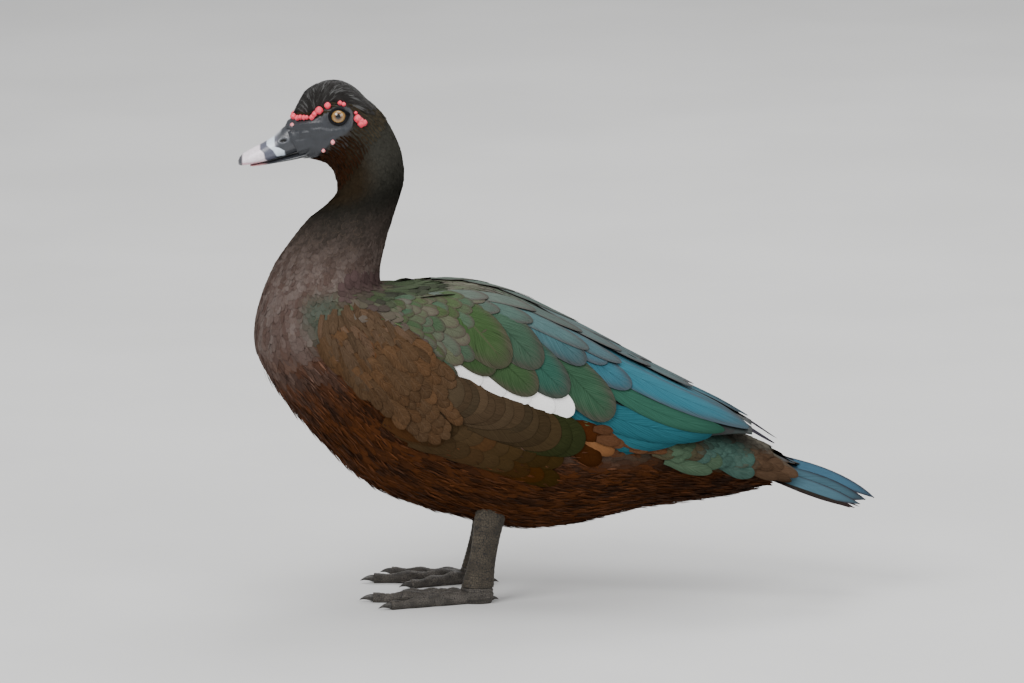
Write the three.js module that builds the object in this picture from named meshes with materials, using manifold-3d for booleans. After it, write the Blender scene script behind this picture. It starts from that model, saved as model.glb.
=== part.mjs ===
// A muscovy duck, life size, standing at rest with its head up.
// Millimetres, +Z up. The bill points along -X and the bird's left side faces -Y.
// The origin lies on the ground under the middle of the bird's whole box.

import * as THREE from 'three';
import Module from 'manifold-3d';

const wasm = await Module();
wasm.setup();

// Driving dimensions
const GAP = 0.3;                     // clearance between touching pieces
const BODY_AROUND = 20;              // points round a ring of the head, neck and torso
const SKULL_RINGS = 8;               // lengths between the rings of the head
const HEAD_END = 6;                  // station where the head meets the neck
const NECK_END = 13;                 // station where the neck meets the torso
const TORSO_END = 27;                // station where the torso meets the tail
const STANCE = 52;                   // distance of each foot from the middle plane
const ANKLE_HEIGHT = 15;             // height at which the leg stands on the foot
const EYE_PLACE = { x: -206.4, z: 462.7 };
const EYE_RADIUS = 8.6;
const EYE_SHOWING = 7.0;             // radius of the part of the eyeball that shows

// Body outline, from the bill's base to the root of the tail. Each row is one ring:
// x and z of its top (back of the neck, back), x and z of its underside (throat, breast,
// belly), its half width, and how much wider it is below its middle than above.
const BODY = [
  [-258.4, 446.6, -242.2, 419.6, 13.4, 0.0],
  [-251.8, 462.0, -235.6, 418.6, 16.0, 0.05],
  [-240.3, 477.0, -225.1, 417.6, 19.5, 0.08],
  [-225.1, 486.0, -216.6, 413.7, 22.5, 0.08],
  [-207.1, 487.5, -210.9, 407.0, 24.5, 0.08],
  [-187.1, 481.0, -209.0, 399.3, 25.5, 0.08],
  [-166.2, 464.9, -208.0, 392.6, 26.0, 0.04],
  [-151.0, 439.8, -209.0, 385.8, 26.0, 0.0],
  [-144.4, 411.8, -213.8, 379.0, 26.0, 0.0],
  [-145.3, 392.6, -222.3, 371.3, 26.5, 0.0],
  [-152.0, 370.4, -235.6, 360.7, 28.5, 0.0],
  [-159.6, 346.3, -249.8, 343.4, 33.0, 0.0],
  [-166.2, 322.0, -266.0, 320.2, 41.0, -0.04],
  [-167.2, 305.4, -278.3, 293.2, 52.0, -0.08],
  [-161.5, 301.9, -285.9, 266.2, 62.0, -0.1],
  [-150.1, 302.4, -286.9, 240.2, 71.0, -0.1],
  [-133.9, 303.0, -277.4, 216.0, 79.0, -0.08],
  [-110.2, 301.0, -258.4, 187.1, 85.0, -0.04],
  [-81.7, 295.0, -228.0, 152.4, 90.0, 0.0],
  [-53.2, 285.0, -186.2, 111.9, 93.0, 0.02],
  [-24.7, 272.0, -143.4, 90.7, 94.0, 0.03],
  [3.8, 256.0, -91.2, 75.2, 94.0, 0.04],
  [32.3, 238.0, -34.2, 64.6, 92.0, 0.04],
  [60.8, 219.0, 22.8, 70.4, 86.0, 0.02],
  [94.0, 198.0, 72.2, 82.9, 76.0, 0.0],
  [132.0, 175.0, 117.8, 89.7, 62.0, 0.0],
  [170.0, 154.0, 165.3, 96.5, 47.0, 0.0],
  [198.5, 142.0, 198.5, 104.2, 36.0, 0.0],
  [220.0, 132.5, 222.0, 102.0, 32.0, 0.0],
  [243.0, 122.5, 244.0, 103.0, 31.0, 0.0],
  [264.0, 111.5, 264.0, 102.5, 31.0, 0.0],
];

// Upper and lower halves of the bill, from the tip to the base. Each row is one ring:
// x and z of its top, x and z of its underside, and its half width.
const BILL_UPPER = [
  [-301.6, 416.6, -301.2, 413.0, 3.0],
  [-299.6, 420.6, -298.6, 412.4, 7.4],
  [-294.0, 425.4, -292.6, 413.2, 10.9],
  [-287.0, 429.4, -285.0, 414.6, 12.2],
  [-278.0, 434.0, -274.4, 416.8, 12.3],
  [-269.5, 439.4, -263.6, 419.8, 12.1],
  [-262.6, 444.4, -253.6, 422.8, 12.3],
  [-258.7, 446.6, -246.0, 425.4, 13.0],
];
const BILL_LOWER = [
  [-290.0, 413.2, -290.4, 412.0, 6.0],
  [-284.6, 414.2, -284.8, 412.6, 9.6],
  [-274.0, 416.4, -274.0, 414.2, 10.9],
  [-263.4, 419.4, -262.4, 416.0, 10.9],
  [-253.4, 422.4, -251.6, 417.8, 11.3],
  [-246.3, 424.6, -243.3, 419.6, 12.0],
];

// Folded wing, from the shoulder back. Each row is one cross section of its outer face:
// x, height of the back line, height of the lower edge, half width there, and distance of
// the upper edge from the middle plane.
const WING = [
  [-172, 286, 246, 54, 44],
  [-148, 306, 238, 89, 49],
  [-110, 309, 222, 100, 40],
  [-72, 303, 214, 105, 29],
  [-34, 290, 207, 105, 18],
  [4, 270, 192, 101, 10],
  [42, 248, 168, 95, 5],
  [80, 227, 163, 86, 3],
  [118, 207, 163, 73, 3],
  [156, 187.5, 163, 56, 3],
  [184, 169, 160, 42, 4],
  [212, 149.5, 147, 24, 6],
];

// Shared helpers

// Repeatable random numbers from a seed.
function randomFrom(seed) {
  let state = seed;
  return () => {
    state = (state + 0x6d2b79f5) | 0;
    let t = Math.imul(state ^ (state >>> 15), 1 | state);
    t = (t + Math.imul(t ^ (t >>> 7), 61 | t)) ^ t;
    return ((t ^ (t >>> 14)) >>> 0) / 4294967296;
  };
}

// Value of one column of a table at a fractional row, by a smooth curve through its rows.
function along(table, column, place) {
  const last = table.length - 1;
  const at = Math.min(Math.max(place, 0), last);
  const i = Math.min(Math.floor(at), last - 1);
  const t = at - i;
  const b = table[i][column];
  const c = table[i + 1][column];
  const a = i > 0 ? table[i - 1][column] : 2 * b - c;
  const d = i < last - 1 ? table[i + 2][column] : 2 * c - b;
  const bend = 2 * a - 5 * b + 4 * c - d;
  const rest = 3 * b - a - 3 * c + d;
  return b + 0.5 * t * (c - a + t * (bend + t * rest));
}

// Fractional row of a table where its first column, which only rises, has this value.
function rowAt(table, x) {
  let low = 0;
  let high = table.length - 1;
  for (let n = 0; n < 40; n += 1) {
    const middle = (low + high) / 2;
    if (along(table, 0, middle) < x) low = middle;
    else high = middle;
  }
  return low;
}

const steps = (from, to, count) =>
  Array.from({ length: count + 1 }, (_, i) => from + ((to - from) * i) / count);

const indices = (count) => Array.from({ length: count }, (_, k) => k);

// A geometry from points and triangles, turned to face outwards.
function shell(points, triangles) {
  const volume = triangles.reduce((sum, [a, b, c]) => {
    const cross = new THREE.Vector3().crossVectors(points[b], points[c]);
    return sum + points[a].dot(cross);
  }, 0);
  const index = triangles.flatMap(([a, b, c]) => (volume > 0 ? [a, b, c] : [a, c, b]));
  const geometry = new THREE.BufferGeometry().setFromPoints(points);
  geometry.setIndex(index);
  return geometry;
}

// A closed tube through a list of rings with equal point counts, with flat fan ends.
function loft(rings) {
  const n = rings[0].length;
  const points = rings.flat();
  const triangles = [];
  for (let r = 0; r + 1 < rings.length; r += 1) {
    for (let k = 0; k < n; k += 1) {
      const a = r * n + k;
      const b = r * n + ((k + 1) % n);
      triangles.push([a, b, b + n], [a, b + n, a + n]);
    }
  }
  [0, rings.length - 1].forEach((r) => {
    const middle = new THREE.Vector3();
    rings[r].forEach((p) => middle.addScaledVector(p, 1 / n));
    const m = points.push(middle) - 1;
    for (let k = 0; k < n; k += 1) {
      const a = r * n + k;
      const b = r * n + ((k + 1) % n);
      triangles.push(r === 0 ? [m, b, a] : [m, a, b]);
    }
  });
  return shell(points, triangles);
}

// A closed sheet between two grids of points that are split into triangles alike.
function sheet(outer, inner) {
  const rows = outer.length;
  const columns = outer[0].length;
  const points = [...outer.flat(), ...inner.flat()];
  const under = rows * columns;
  const triangles = [];
  for (let i = 0; i + 1 < rows; i += 1) {
    for (let j = 0; j + 1 < columns; j += 1) {
      const a = i * columns + j;
      const d = a + columns;
      triangles.push([a, a + 1, d + 1], [a, d + 1, d]);
      triangles.push([a + under, d + 1 + under, a + 1 + under], [a + under, d + under, d + 1 + under]);
    }
  }
  const rim = [];
  for (let j = 0; j < columns - 1; j += 1) rim.push(j);
  for (let i = 0; i < rows - 1; i += 1) rim.push(i * columns + columns - 1);
  for (let j = columns - 1; j > 0; j -= 1) rim.push((rows - 1) * columns + j);
  for (let i = rows - 1; i > 0; i -= 1) rim.push(i * columns);
  rim.forEach((a, k) => {
    const b = rim[(k + 1) % rim.length];
    triangles.push([a, a + under, b + under], [a, b + under, b]);
  });
  return shell(points, triangles);
}

// Outline of a feather's vane: shares of its length from the root, and its half widths there.
const VANE_OUTLINE = [[0, 0.5], [0.32, 0.95], [0.82, 0.92], [1, 0.36]];
const VANE_ROOT = VANE_OUTLINE[1][0];

// One feather as a thin closed vane. point(t, side, lift) is the surface it lies on: t runs from
// the root (0) to the tip (1), side from one edge (-1) to the other (1), lift stands off it.
function vane(point, thickness) {
  const grid = (depth) => VANE_OUTLINE.map(([t, width]) => [-1, 0, 1].map((side) => {
    const rounding = side === 0 ? 0 : 0.04 * t;
    return point(t - rounding, side * width, depth * (1 - 0.4 * t));
  }));
  return solid(sheet(grid(0), grid(-thickness)));
}

// Height of a feather over its length: its root dives into the core, then it rises to its tip.
function shingleRise(t, sunk, rise) {
  return t < VANE_ROOT ? -sunk * (1 - t / VANE_ROOT) : rise * (t - VANE_ROOT) / (1 - VANE_ROOT);
}

// A solid for joining and cutting, from a geometry whose shared points are merged.
function solid(geometry) {
  const position = geometry.getAttribute('position');
  const index = geometry.getIndex();
  const order = index ? Array.from(index.array) : Array.from({ length: position.count }, (_, i) => i);
  const seen = new Map();
  const kept = [];
  const merged = Array.from({ length: position.count }, (_, i) => {
    const p = [position.getX(i), position.getY(i), position.getZ(i)];
    const key = p.map((v) => Math.round(v * 1e4)).join();
    if (!seen.has(key)) {
      seen.set(key, seen.size);
      kept.push(...p);
    }
    return seen.get(key);
  });
  const triVerts = [];
  for (let t = 0; t < order.length; t += 3) {
    const [a, b, c] = [merged[order[t]], merged[order[t + 1]], merged[order[t + 2]]];
    if (a !== b && b !== c && c !== a) triVerts.push(a, b, c);
  }
  return new wasm.Manifold(new wasm.Mesh({
    numProp: 3,
    vertProperties: Float32Array.from(kept),
    triVerts: Uint32Array.from(triVerts),
  }));
}

// All the pieces joined, with only the largest closed body kept.
function joined(first, others, cutters = []) {
  let whole = first;
  others.forEach((piece) => { whole = whole.add(piece); });
  cutters.forEach((piece) => { whole = whole.subtract(piece); });
  return whole.decompose().reduce((a, b) => (b.volume() > a.volume() ? b : a));
}

// A geometry from a solid.
function geometryOf(body) {
  const mesh = body.getMesh();
  const count = mesh.vertProperties.length / mesh.numProp;
  const position = new Float32Array(count * 3);
  for (let i = 0; i < count; i += 1) {
    for (let k = 0; k < 3; k += 1) position[i * 3 + k] = mesh.vertProperties[i * mesh.numProp + k];
  }
  const geometry = new THREE.BufferGeometry();
  geometry.setAttribute('position', new THREE.BufferAttribute(position, 3));
  geometry.setIndex(Array.from(mesh.triVerts));
  return geometry;
}

// Body surface

// One ring of a table of chords: top and underside points in the middle plane, half width.
function ringFrame(table, place, grow = 0) {
  const top = new THREE.Vector3(along(table, 0, place), 0, along(table, 1, place));
  const bottom = new THREE.Vector3(along(table, 2, place), 0, along(table, 3, place));
  const centre = top.clone().add(bottom).multiplyScalar(0.5);
  const up = top.clone().sub(centre);
  const half = up.length() + grow;
  up.normalize();
  return { centre, up, half, width: along(table, 4, place) + grow };
}

// Fullness of the flanks, whose feathers wrap over the wings' lower edges.
const FLANK = { swell: 18, start: 15.5, full: 18.5, falling: 21.8, end: 24.5 };

function flankSwell(place, angle) {
  const { smoothstep } = THREE.MathUtils;
  const turn = Math.acos(Math.cos(angle));
  const lengthwise = smoothstep(place, FLANK.start, FLANK.full)
    * (1 - smoothstep(place, FLANK.falling, FLANK.end));
  const around = smoothstep(turn, 0.7, 1.15) * (1 - smoothstep(turn, 1.35, 2.3));
  return FLANK.swell * lengthwise * around * Math.sign(Math.sin(angle));
}

// Point of the body's skin: angle 0 is the back, a quarter turn is the right side.
function bodyPoint(place, angle, grow = 0) {
  const ring = ringFrame(BODY, place, grow);
  const egg = along(BODY, 5, place);
  const rise = Math.cos(angle);
  const side = Math.sin(angle) * (1 - egg * rise);
  const point = ring.centre.clone().addScaledVector(ring.up, ring.half * rise);
  point.y += ring.width * side + flankSwell(place, angle);
  return point;
}

// Outward direction of the body's skin.
function bodyNormal(place, angle) {
  const d = 0.01;
  const forward = bodyPoint(place + d, angle).sub(bodyPoint(place - d, angle));
  const round = bodyPoint(place, angle + d).sub(bodyPoint(place, angle - d));
  return forward.cross(round).normalize();
}

// Rings of the body between two stations. The end rings stand back by half the clearance.
function bodyLoft(from, to, count, grow = 0) {
  const angles = steps(0, 2 * Math.PI, BODY_AROUND).slice(0, -1);
  const places = steps(from, to, count);
  const rings = places.map((place) => angles.map((angle) => bodyPoint(place, angle, grow)));
  [[0, 1], [places.length - 1, -1]].forEach(([r, way]) => {
    const { up } = ringFrame(BODY, places[r]);
    const ahead = new THREE.Vector3(-up.z, 0, up.x).multiplyScalar(-1);
    const back = ahead.multiplyScalar(way * (GAP / 2 - grow));
    rings[r].forEach((p) => p.add(back));
  });
  return loft(rings);
}

// Place on the left side of the body whose side view falls on x and z.
function leftSideAt(x, z, from = 0, to = HEAD_END) {
  let best = { miss: Infinity };
  let span = [from, to, 0.02 * Math.PI, 0.98 * Math.PI];
  for (let pass = 0; pass < 5; pass += 1) {
    const [s0, s1, a0, a1] = span;
    steps(s0, s1, 24).forEach((place) => {
      steps(a0, a1, 24).forEach((angle) => {
        const p = bodyPoint(place, -angle);
        const miss = Math.hypot(p.x - x, p.z - z);
        if (miss < best.miss) best = { miss, place, angle };
      });
    });
    const ds = (s1 - s0) / 10;
    const da = (a1 - a0) / 10;
    span = [best.place - ds, best.place + ds, best.angle - da, best.angle + da];
  }
  const point = bodyPoint(best.place, -best.angle);
  return { point, normal: bodyNormal(best.place, -best.angle) };
}

const mirrored = (v) => new THREE.Vector3(v.x, -v.y, v.z);

// A sphere or any other closed geometry, scaled, turned and put in place.
function placed(geometry, point, { scale = [1, 1, 1], turn = new THREE.Quaternion() } = {}) {
  const matrix = new THREE.Matrix4().compose(point, turn, new THREE.Vector3(...scale));
  return solid(geometry.clone().applyMatrix4(matrix));
}

// Head

const eyeSeat = leftSideAt(EYE_PLACE.x, EYE_PLACE.z);
const EYE_SINK = Math.sqrt(EYE_RADIUS ** 2 - EYE_SHOWING ** 2);

// Centre and outward direction of the eye on one side: -1 is the left, 1 the right.
function eyeOn(side) {
  const point = eyeSeat.point.clone();
  const outward = new THREE.Vector3(0, -1, 0).lerp(eyeSeat.normal, 0.5).normalize();
  point.addScaledVector(outward, -EYE_SINK);
  return side < 0 ? { point, outward } : { point: mirrored(point), outward: mirrored(outward) };
}

// Ring of the eyelids round one eye.
function lids(side) {
  const LID_THICKNESS = 1.5;
  const eye = eyeOn(side);
  const turn = new THREE.Quaternion().setFromUnitVectors(new THREE.Vector3(0, 0, 1), eye.outward);
  const seat = eye.point.clone().addScaledVector(eye.outward, EYE_SINK - 0.2);
  const ring = new THREE.TorusGeometry(EYE_SHOWING + LID_THICKNESS * 0.55, LID_THICKNESS, 4, 12);
  return placed(ring, seat, { scale: [1.06, 1, 1], turn });
}

// Red caruncles: a row of bulbs from the base of the bill over the eye, and a cluster behind it.
const BROW_ROW = [
  [-249.0, 462.3, 2.8], [-245.4, 461.0, 2.5], [-242.4, 461.5, 2.3], [-238.8, 461.2, 2.2],
  [-236.0, 461.2, 1.9], [-231.4, 461.2, 2.4], [-228.6, 464.4, 2.6], [-224.4, 467.7, 3.6],
  [-216.3, 472.3, 2.8], [-204.8, 474.6, 2.1], [-201.4, 473.4, 2.1],
];
const REAR_CLUSTER = [
  [-189.8, 465.7, 1.5], [-188.2, 460.6, 3.5], [-185.1, 458.4, 2.9], [-184.8, 455.7, 3.2],
  [-181.4, 456.7, 2.6],
];
const CHIN_BULBS = [[-211.5, 438.6, 2.0], [-220.4, 429.8, 1.6], [-250.6, 454.2, 1.8]];
const ALL_BULBS = [...BROW_ROW, ...REAR_CLUSTER, ...CHIN_BULBS];
const CREST_BULBS = ALL_BULBS.filter(([x, z]) => x > -248 && z > 454);

function caruncles(side, grow = 0, bulbs = ALL_BULBS) {
  return bulbs.map(([x, z, radius]) => {
    const seat = leftSideAt(x, z);
    const centre = seat.point.addScaledVector(seat.normal, radius * 0.3);
    const Ball = radius < 2.3 ? THREE.OctahedronGeometry : THREE.IcosahedronGeometry;
    const bulb = new Ball(radius + grow);
    return placed(bulb, side < 0 ? centre : mirrored(centre), { scale: [1, 1, 1.08] });
  });
}

// Groove that carries the line of the mouth back into the cheek.
function mouthCorner(side) {
  const start = leftSideAt(-243.5, 425.2);
  const end = leftSideAt(-233.8, 430.4);
  const middle = start.point.clone().add(end.point).multiplyScalar(0.5);
  const run = end.point.clone().sub(start.point);
  const box = new THREE.BoxGeometry(run.length() + 6, 5, 0.7);
  box.rotateY(-Math.atan2(run.z, run.x));
  return placed(box, side < 0 ? middle : mirrored(middle));
}

function headGeometry() {
  const skull = solid(bodyLoft(0, HEAD_END, SKULL_RINGS));
  const sides = [-1, 1];
  const added = sides.flatMap((side) => [lids(side), ...caruncles(side)]);
  const sockets = sides.map((side) => eyeball(side, EYE_RADIUS + GAP + 0.1));
  return geometryOf(joined(skull, added, [...sockets, ...sides.map(mouthCorner)]));
}

// The eyeball, with its pole outwards; a larger one cuts its socket.
function eyeball(side, radius) {
  const eye = eyeOn(side);
  const turn = new THREE.Quaternion().setFromUnitVectors(new THREE.Vector3(0, 1, 0), eye.outward);
  return placed(new THREE.SphereGeometry(radius, 12, 9), eye.point, { turn });
}

// Bill

// Ring of the bill: its widest level lies below the middle, so it is domed above and flat below.
function billRing(table, place, around, drop) {
  const ring = ringFrame(table, place);
  return steps(0, 2 * Math.PI, around).slice(0, -1).map((angle) => {
    const rise = Math.cos(angle);
    const height = rise * (rise > 0 ? 1 + drop : 1 - drop) - drop;
    const point = ring.centre.clone().addScaledVector(ring.up, ring.half * height);
    point.y += ring.width * Math.sign(Math.sin(angle)) * Math.abs(Math.sin(angle)) ** 0.85;
    return point;
  });
}

function billGeometry(table, drop, cutters = []) {
  const rows = table.length - 1;
  const rings = steps(0, rows, Math.ceil(rows * 1.4)).map((place) => billRing(table, place, 14, drop));
  return geometryOf(joined(solid(loft(rings)), [], cutters));
}

// Hollow of one nostril.
function nostril(side) {
  const turn = new THREE.Quaternion().setFromEuler(new THREE.Euler(0, -0.6, 0));
  const centre = new THREE.Vector3(-260.2, side * 8.6, 439.6);
  return placed(new THREE.SphereGeometry(1, 10, 8), centre, { scale: [3.9, 3.2, 1.9], turn });
}

// Crest

const CREST = { first: 2.0, last: 5.2, reach: 0.27 * Math.PI, core: 2, rise: 6.4, rows: 4 };

// Share of the crest's full height at a place along the crown and round it.
function crestSwell(place, angle) {
  const lengthwise = Math.sin(Math.PI * Math.min(1, (place - CREST.first + 0.1) / 3.6) ** 0.8);
  return Math.max(0, lengthwise) * Math.cos(angle * 1.6);
}

// Feathers of the crest in rows from the forehead back, each row of shorter ones set between.
function crestFeathers() {
  const random = randomFrom(21);
  const feathers = [];
  for (let row = 0; row < CREST.rows; row += 1) {
    const root = CREST.first + 0.1 + row * 0.58;
    const count = 3 + (row % 2);
    for (let k = 0; k < count; k += 1) {
      const share = (k + 0.5) / count * 2 - 1;
      const start = share * CREST.reach * 0.9;
      const length = 1.35 + 0.2 * random();
      const lean = 0.1 * (random() - 0.5);
      const rise = CREST.rise * (0.9 + 0.15 * random());
      const half = 0.22 + 0.03 * random();
      feathers.push(vane((t, side, lift) => {
        const place = root + length * t;
        const angle = start * (1 - 0.25 * t) + lean * t + side * half;
        const swell = crestSwell(place, angle) * THREE.MathUtils.lerp(CREST.core, rise, t);
        return bodyPoint(place, angle, swell + shingleRise(t, 3, 0.8) + 0.5 * side + 0.9 + lift);
      }, 0.9));
    }
  }
  return feathers;
}

function crestGeometry() {
  const places = steps(CREST.first, CREST.last, 4);
  const angles = steps(-CREST.reach, CREST.reach, 4);
  const height = (place, angle) => 0.5 + CREST.core * crestSwell(place, angle);
  const outer = places.map((s) => angles.map((a) => bodyPoint(s, a, height(s, a))));
  const inner = places.map((s) => angles.map((a) => bodyPoint(s, a, -1)));
  const skull = solid(bodyLoft(0, HEAD_END, SKULL_RINGS, GAP));
  const bulbs = [-1, 1].flatMap((side) => caruncles(side, GAP, CREST_BULBS));
  return geometryOf(joined(solid(sheet(outer, inner)), crestFeathers(), [skull, ...bulbs]));
}

// Wing

// Point of the left wing's outer face: across runs from the upper edge (0) to the lower (1).
function wingPoint(x, across, lift = 0) {
  const row = rowAt(WING, x);
  const [top, low, width, edge] = [1, 2, 3, 4].map((column) => along(WING, column, row));
  const start = Math.acos(Math.min(1, edge / width));
  const angle = start * (1 - across) - 0.06 * across;
  const y = (width + lift) * Math.cos(angle);
  const z = low + (top - low + lift) * Math.sin(angle);
  return new THREE.Vector3(x, -y, z);
}

// Length of the wing's face from its upper edge to its lower one.
function wingDepth(x) {
  const points = steps(0, 1, 6).map((across) => wingPoint(x, across));
  return points.slice(1).reduce((sum, p, i) => sum + p.distanceTo(points[i]), 0);
}

// Tiers of wing feathers, front to back. Each row: x of the roots, run to the tips, how many
// side by side, where the first and last root lie across the wing, how far the tips lie lower
// than the roots, and half the width of a feather.
const WING_TIERS = [
  { x: -140, run: 42, count: 4, first: 0.13, last: 0.84, fall: 0.06, half: 18 },
  { x: -110, run: 48, count: 4, first: 0.1, last: 0.72, fall: 0.14, half: 18.5 },
  { x: -74, run: 58, count: 4, first: 0.12, last: 0.66, fall: 0.18, half: 19 },
  { x: -30, run: 76, count: 4, first: 0.1, last: 0.64, fall: 0.18, half: 19 },
  { x: 28, run: 98, count: 3, first: 0.12, last: 0.5, fall: 0.1, half: 17 },
];
const SECONDARIES = { x: 62, count: 4, first: 0.32, last: 0.9, longest: 124, shortest: 60, half: 13 };
const PRIMARIES = { x: 134, count: 3, first: 0.14, last: 0.52, longest: 80, shortest: 62, half: 8 };
const WING_VANE = { thickness: 0.9, clear: 2.6, sunk: 4, tilt: 0.9 };

// One feather of the left wing, from its root along the wing's face.
function wingFeather({ x, run, across, fall, half, rise }) {
  return vane((t, side, lift) => {
    const at = x + run * t;
    const spot = across + fall * t + side * half / wingDepth(at);
    const v = THREE.MathUtils.clamp(spot, 0, 1);
    const shingle = shingleRise(t, WING_VANE.sunk, rise) + WING_VANE.tilt * side;
    return wingPoint(at, v, shingle + lift);
  }, WING_VANE.thickness);
}

function wingFeathers() {
  const random = randomFrom(31);
  const spread = ({ first, last, count }, k) => first + (last - first) * k / (count - 1);
  const coverts = WING_TIERS.flatMap((tier) => indices(tier.count).map((k) => ({
    ...tier,
    x: tier.x + 5 * (random() - 0.5),
    run: tier.run * (0.96 + 0.08 * random()),
    across: spread(tier, k),
    rise: 1.8,
  })));
  const flight = [SECONDARIES, PRIMARIES].flatMap((tier) => indices(tier.count).map((k) => ({
    ...tier,
    run: THREE.MathUtils.lerp(tier.longest, tier.shortest, k / (tier.count - 1)),
    across: spread(tier, k),
    fall: 0.02,
    rise: 0.6,
  })));
  return [...coverts, ...flight].map(wingFeather);
}

function wingGeometry(side) {
  const SLAB_END = 176;
  const xs = steps(-150, SLAB_END, 7);
  const rows = steps(0, 1, 3);
  const depth = (x) => THREE.MathUtils.lerp(16, 2, THREE.MathUtils.smoothstep(x, -140, 150));
  const clear = WING_VANE.clear;
  const outer = xs.map((x) => rows.map((v) => wingPoint(x, v, -clear)));
  const inner = xs.map((x) => rows.map((v) => wingPoint(x, v, -clear - depth(x))));
  const cutter = side < 0 ? torsoCutter : torsoCutter.mirror([0, 1, 0]);
  const left = joined(solid(sheet(outer, inner)), wingFeathers(), [cutter]);
  return geometryOf(side < 0 ? left : left.mirror([0, 1, 0]));
}

// Tail

const TAIL = {
  feathers: 16, featherHalf: 7.2, tilt: 1.3, thickness: 0.7, root: 206, height: 121,
  halfBase: 23, reach: 96, outerReach: 80, spread: 0.24, slope: 0.28, roof: 0.1, roll: 0.1,
};

// Point of the tail fan: share runs from the left edge (-1) to the right (1), out from the root.
function tailPoint(share, out, lift = 0) {
  const turn = share * TAIL.spread;
  const x = TAIL.root + out * Math.cos(turn);
  const y = TAIL.halfBase * share + out * Math.sin(turn);
  const fall = (x - TAIL.root) * TAIL.slope + Math.abs(y) * TAIL.roof - y * TAIL.roll;
  return new THREE.Vector3(x, y, TAIL.height - fall + lift);
}

const tailReach = (share) => TAIL.reach - (TAIL.reach - TAIL.outerReach) * share ** 2;

// Tail feathers, each with its outer edge over the next one out.
function tailFeathers() {
  return indices(TAIL.feathers).map((k) => {
    const share = (k / (TAIL.feathers - 1)) * 2 - 1;
    const reach = tailReach(share);
    const outward = Math.sign(share);
    return vane((t, side, lift) => {
      const half = TAIL.featherHalf / (TAIL.halfBase + reach * t * TAIL.spread);
      const tilt = TAIL.tilt * side * outward + 0.8 * (1 - Math.abs(share));
      return tailPoint(share + side * half, reach * t, tilt + lift);
    }, TAIL.thickness);
  });
}

function tailGeometry() {
  const core = solid(bodyLoft(TORSO_END, BODY.length - 1, 4));
  const shares = steps(-0.9, 0.9, 8);
  const grid = (lift) => steps(0, 0.62, 3).map((t) => shares.map((share) => (
    tailPoint(share, tailReach(share) * t, lift * (1 - 0.7 * t))
  )));
  return geometryOf(joined(core, [solid(sheet(grid(2.4), grid(-2.4))), ...tailFeathers()]));
}

// Legs and feet

// Tarsus with raised plates: rings from the belly down to the ankle.
const LEG_TOP = { x: -62, z: 100, long: 14, wide: 9 };
const LEG_FOOT = { x: -76, z: ANKLE_HEIGHT + GAP, long: 15, wide: 9.5 };
const LEG_WAIST = 0.84;
const SCUTES = 9;
const SCUTE_RISE = 0.07;

function legGeometry(side) {
  const rings = steps(0, 1, SCUTES * 2).map((t, i) => {
    const mix = (key) => THREE.MathUtils.lerp(LEG_FOOT[key], LEG_TOP[key], t);
    const waist = 1 - (1 - LEG_WAIST) * Math.sin(Math.PI * Math.min(1, t * 1.3));
    return steps(0, 2 * Math.PI, 11).slice(0, -1).map((angle) => {
      const front = Math.max(0, -Math.cos(angle));
      const step = i % 2 === 0 ? 0 : SCUTE_RISE * (0.35 + front);
      const x = mix('x') + mix('long') * waist * Math.cos(angle) * (1 + step);
      const y = side * STANCE + mix('wide') * waist * Math.sin(angle) * (1 + step);
      return new THREE.Vector3(x, y, mix('z'));
    });
  });
  return geometryOf(joined(solid(loft(rings)), [], [torsoCutter]));
}

// Toes of the left foot: turn from straight ahead, length, and thickness at root and tip.
const TOES = [
  { name: 'inner', turn: 0.48, length: 68, root: 7.5, tip: 4.2 },
  { name: 'middle', turn: 0.03, length: 96, root: 8, tip: 4.6 },
  { name: 'outer', turn: -0.42, length: 86, root: 7.5, tip: 4.2 },
];
const HIND_TOE = { name: 'hind', turn: Math.PI - 0.35, length: 17, root: 5.2, tip: 3.2 };
const ANKLE = { x: -78, reach: 12 };
const CLAW_LENGTH = 13;
const WEB_NOTCH = 0.8;

// Point on the ground under a toe, at a distance from the ankle; side -1 is the left foot.
function toePoint(side, toe, out) {
  const turn = side < 0 ? toe.turn : -toe.turn;
  return new THREE.Vector3(ANKLE.x - out * Math.cos(turn), side * STANCE + out * Math.sin(turn), 0);
}

// Toe as a tube with knuckles, its underside flat on the ground.
function toeSolid(side, toe) {
  const forward = toePoint(side, toe, 1).sub(toePoint(side, toe, 0));
  const across = new THREE.Vector3(-forward.y, forward.x, 0);
  const rings = steps(0, 1, 6).map((t) => {
    const centre = toePoint(side, toe, t * toe.length);
    const knuckle = 1 + 0.1 * Math.cos(t * 3 * 2 * Math.PI);
    const radius = THREE.MathUtils.lerp(toe.root, toe.tip, t) * knuckle;
    return steps(0, 2 * Math.PI, 8).slice(0, -1).map((angle) => {
      const p = centre.clone().addScaledVector(across, radius * Math.sin(angle));
      p.z = Math.max(0, radius * 0.75 + radius * Math.cos(angle));
      return p;
    });
  });
  return solid(loft(rings));
}

// Web between two toes, its free edge hollowed.
function webSolid(side, toe, next) {
  const WEB_TOP = 3.4;
  const WEB_THICKNESS = 2;
  const grid = (lift) => steps(0, 1, 3).map((t) => steps(0, 1, 4).map((u) => {
    const hollow = 1 - 0.9 * (1 - WEB_NOTCH) * Math.sin(Math.PI * u);
    const a = toePoint(side, toe, t * hollow * (toe.length - 6));
    const b = toePoint(side, next, t * hollow * (next.length - 6));
    const p = a.lerp(b, u);
    p.z = WEB_TOP - 1.2 * Math.sin(Math.PI * u) * t + lift;
    return p;
  }));
  return solid(sheet(grid(0), grid(-WEB_THICKNESS)));
}

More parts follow.
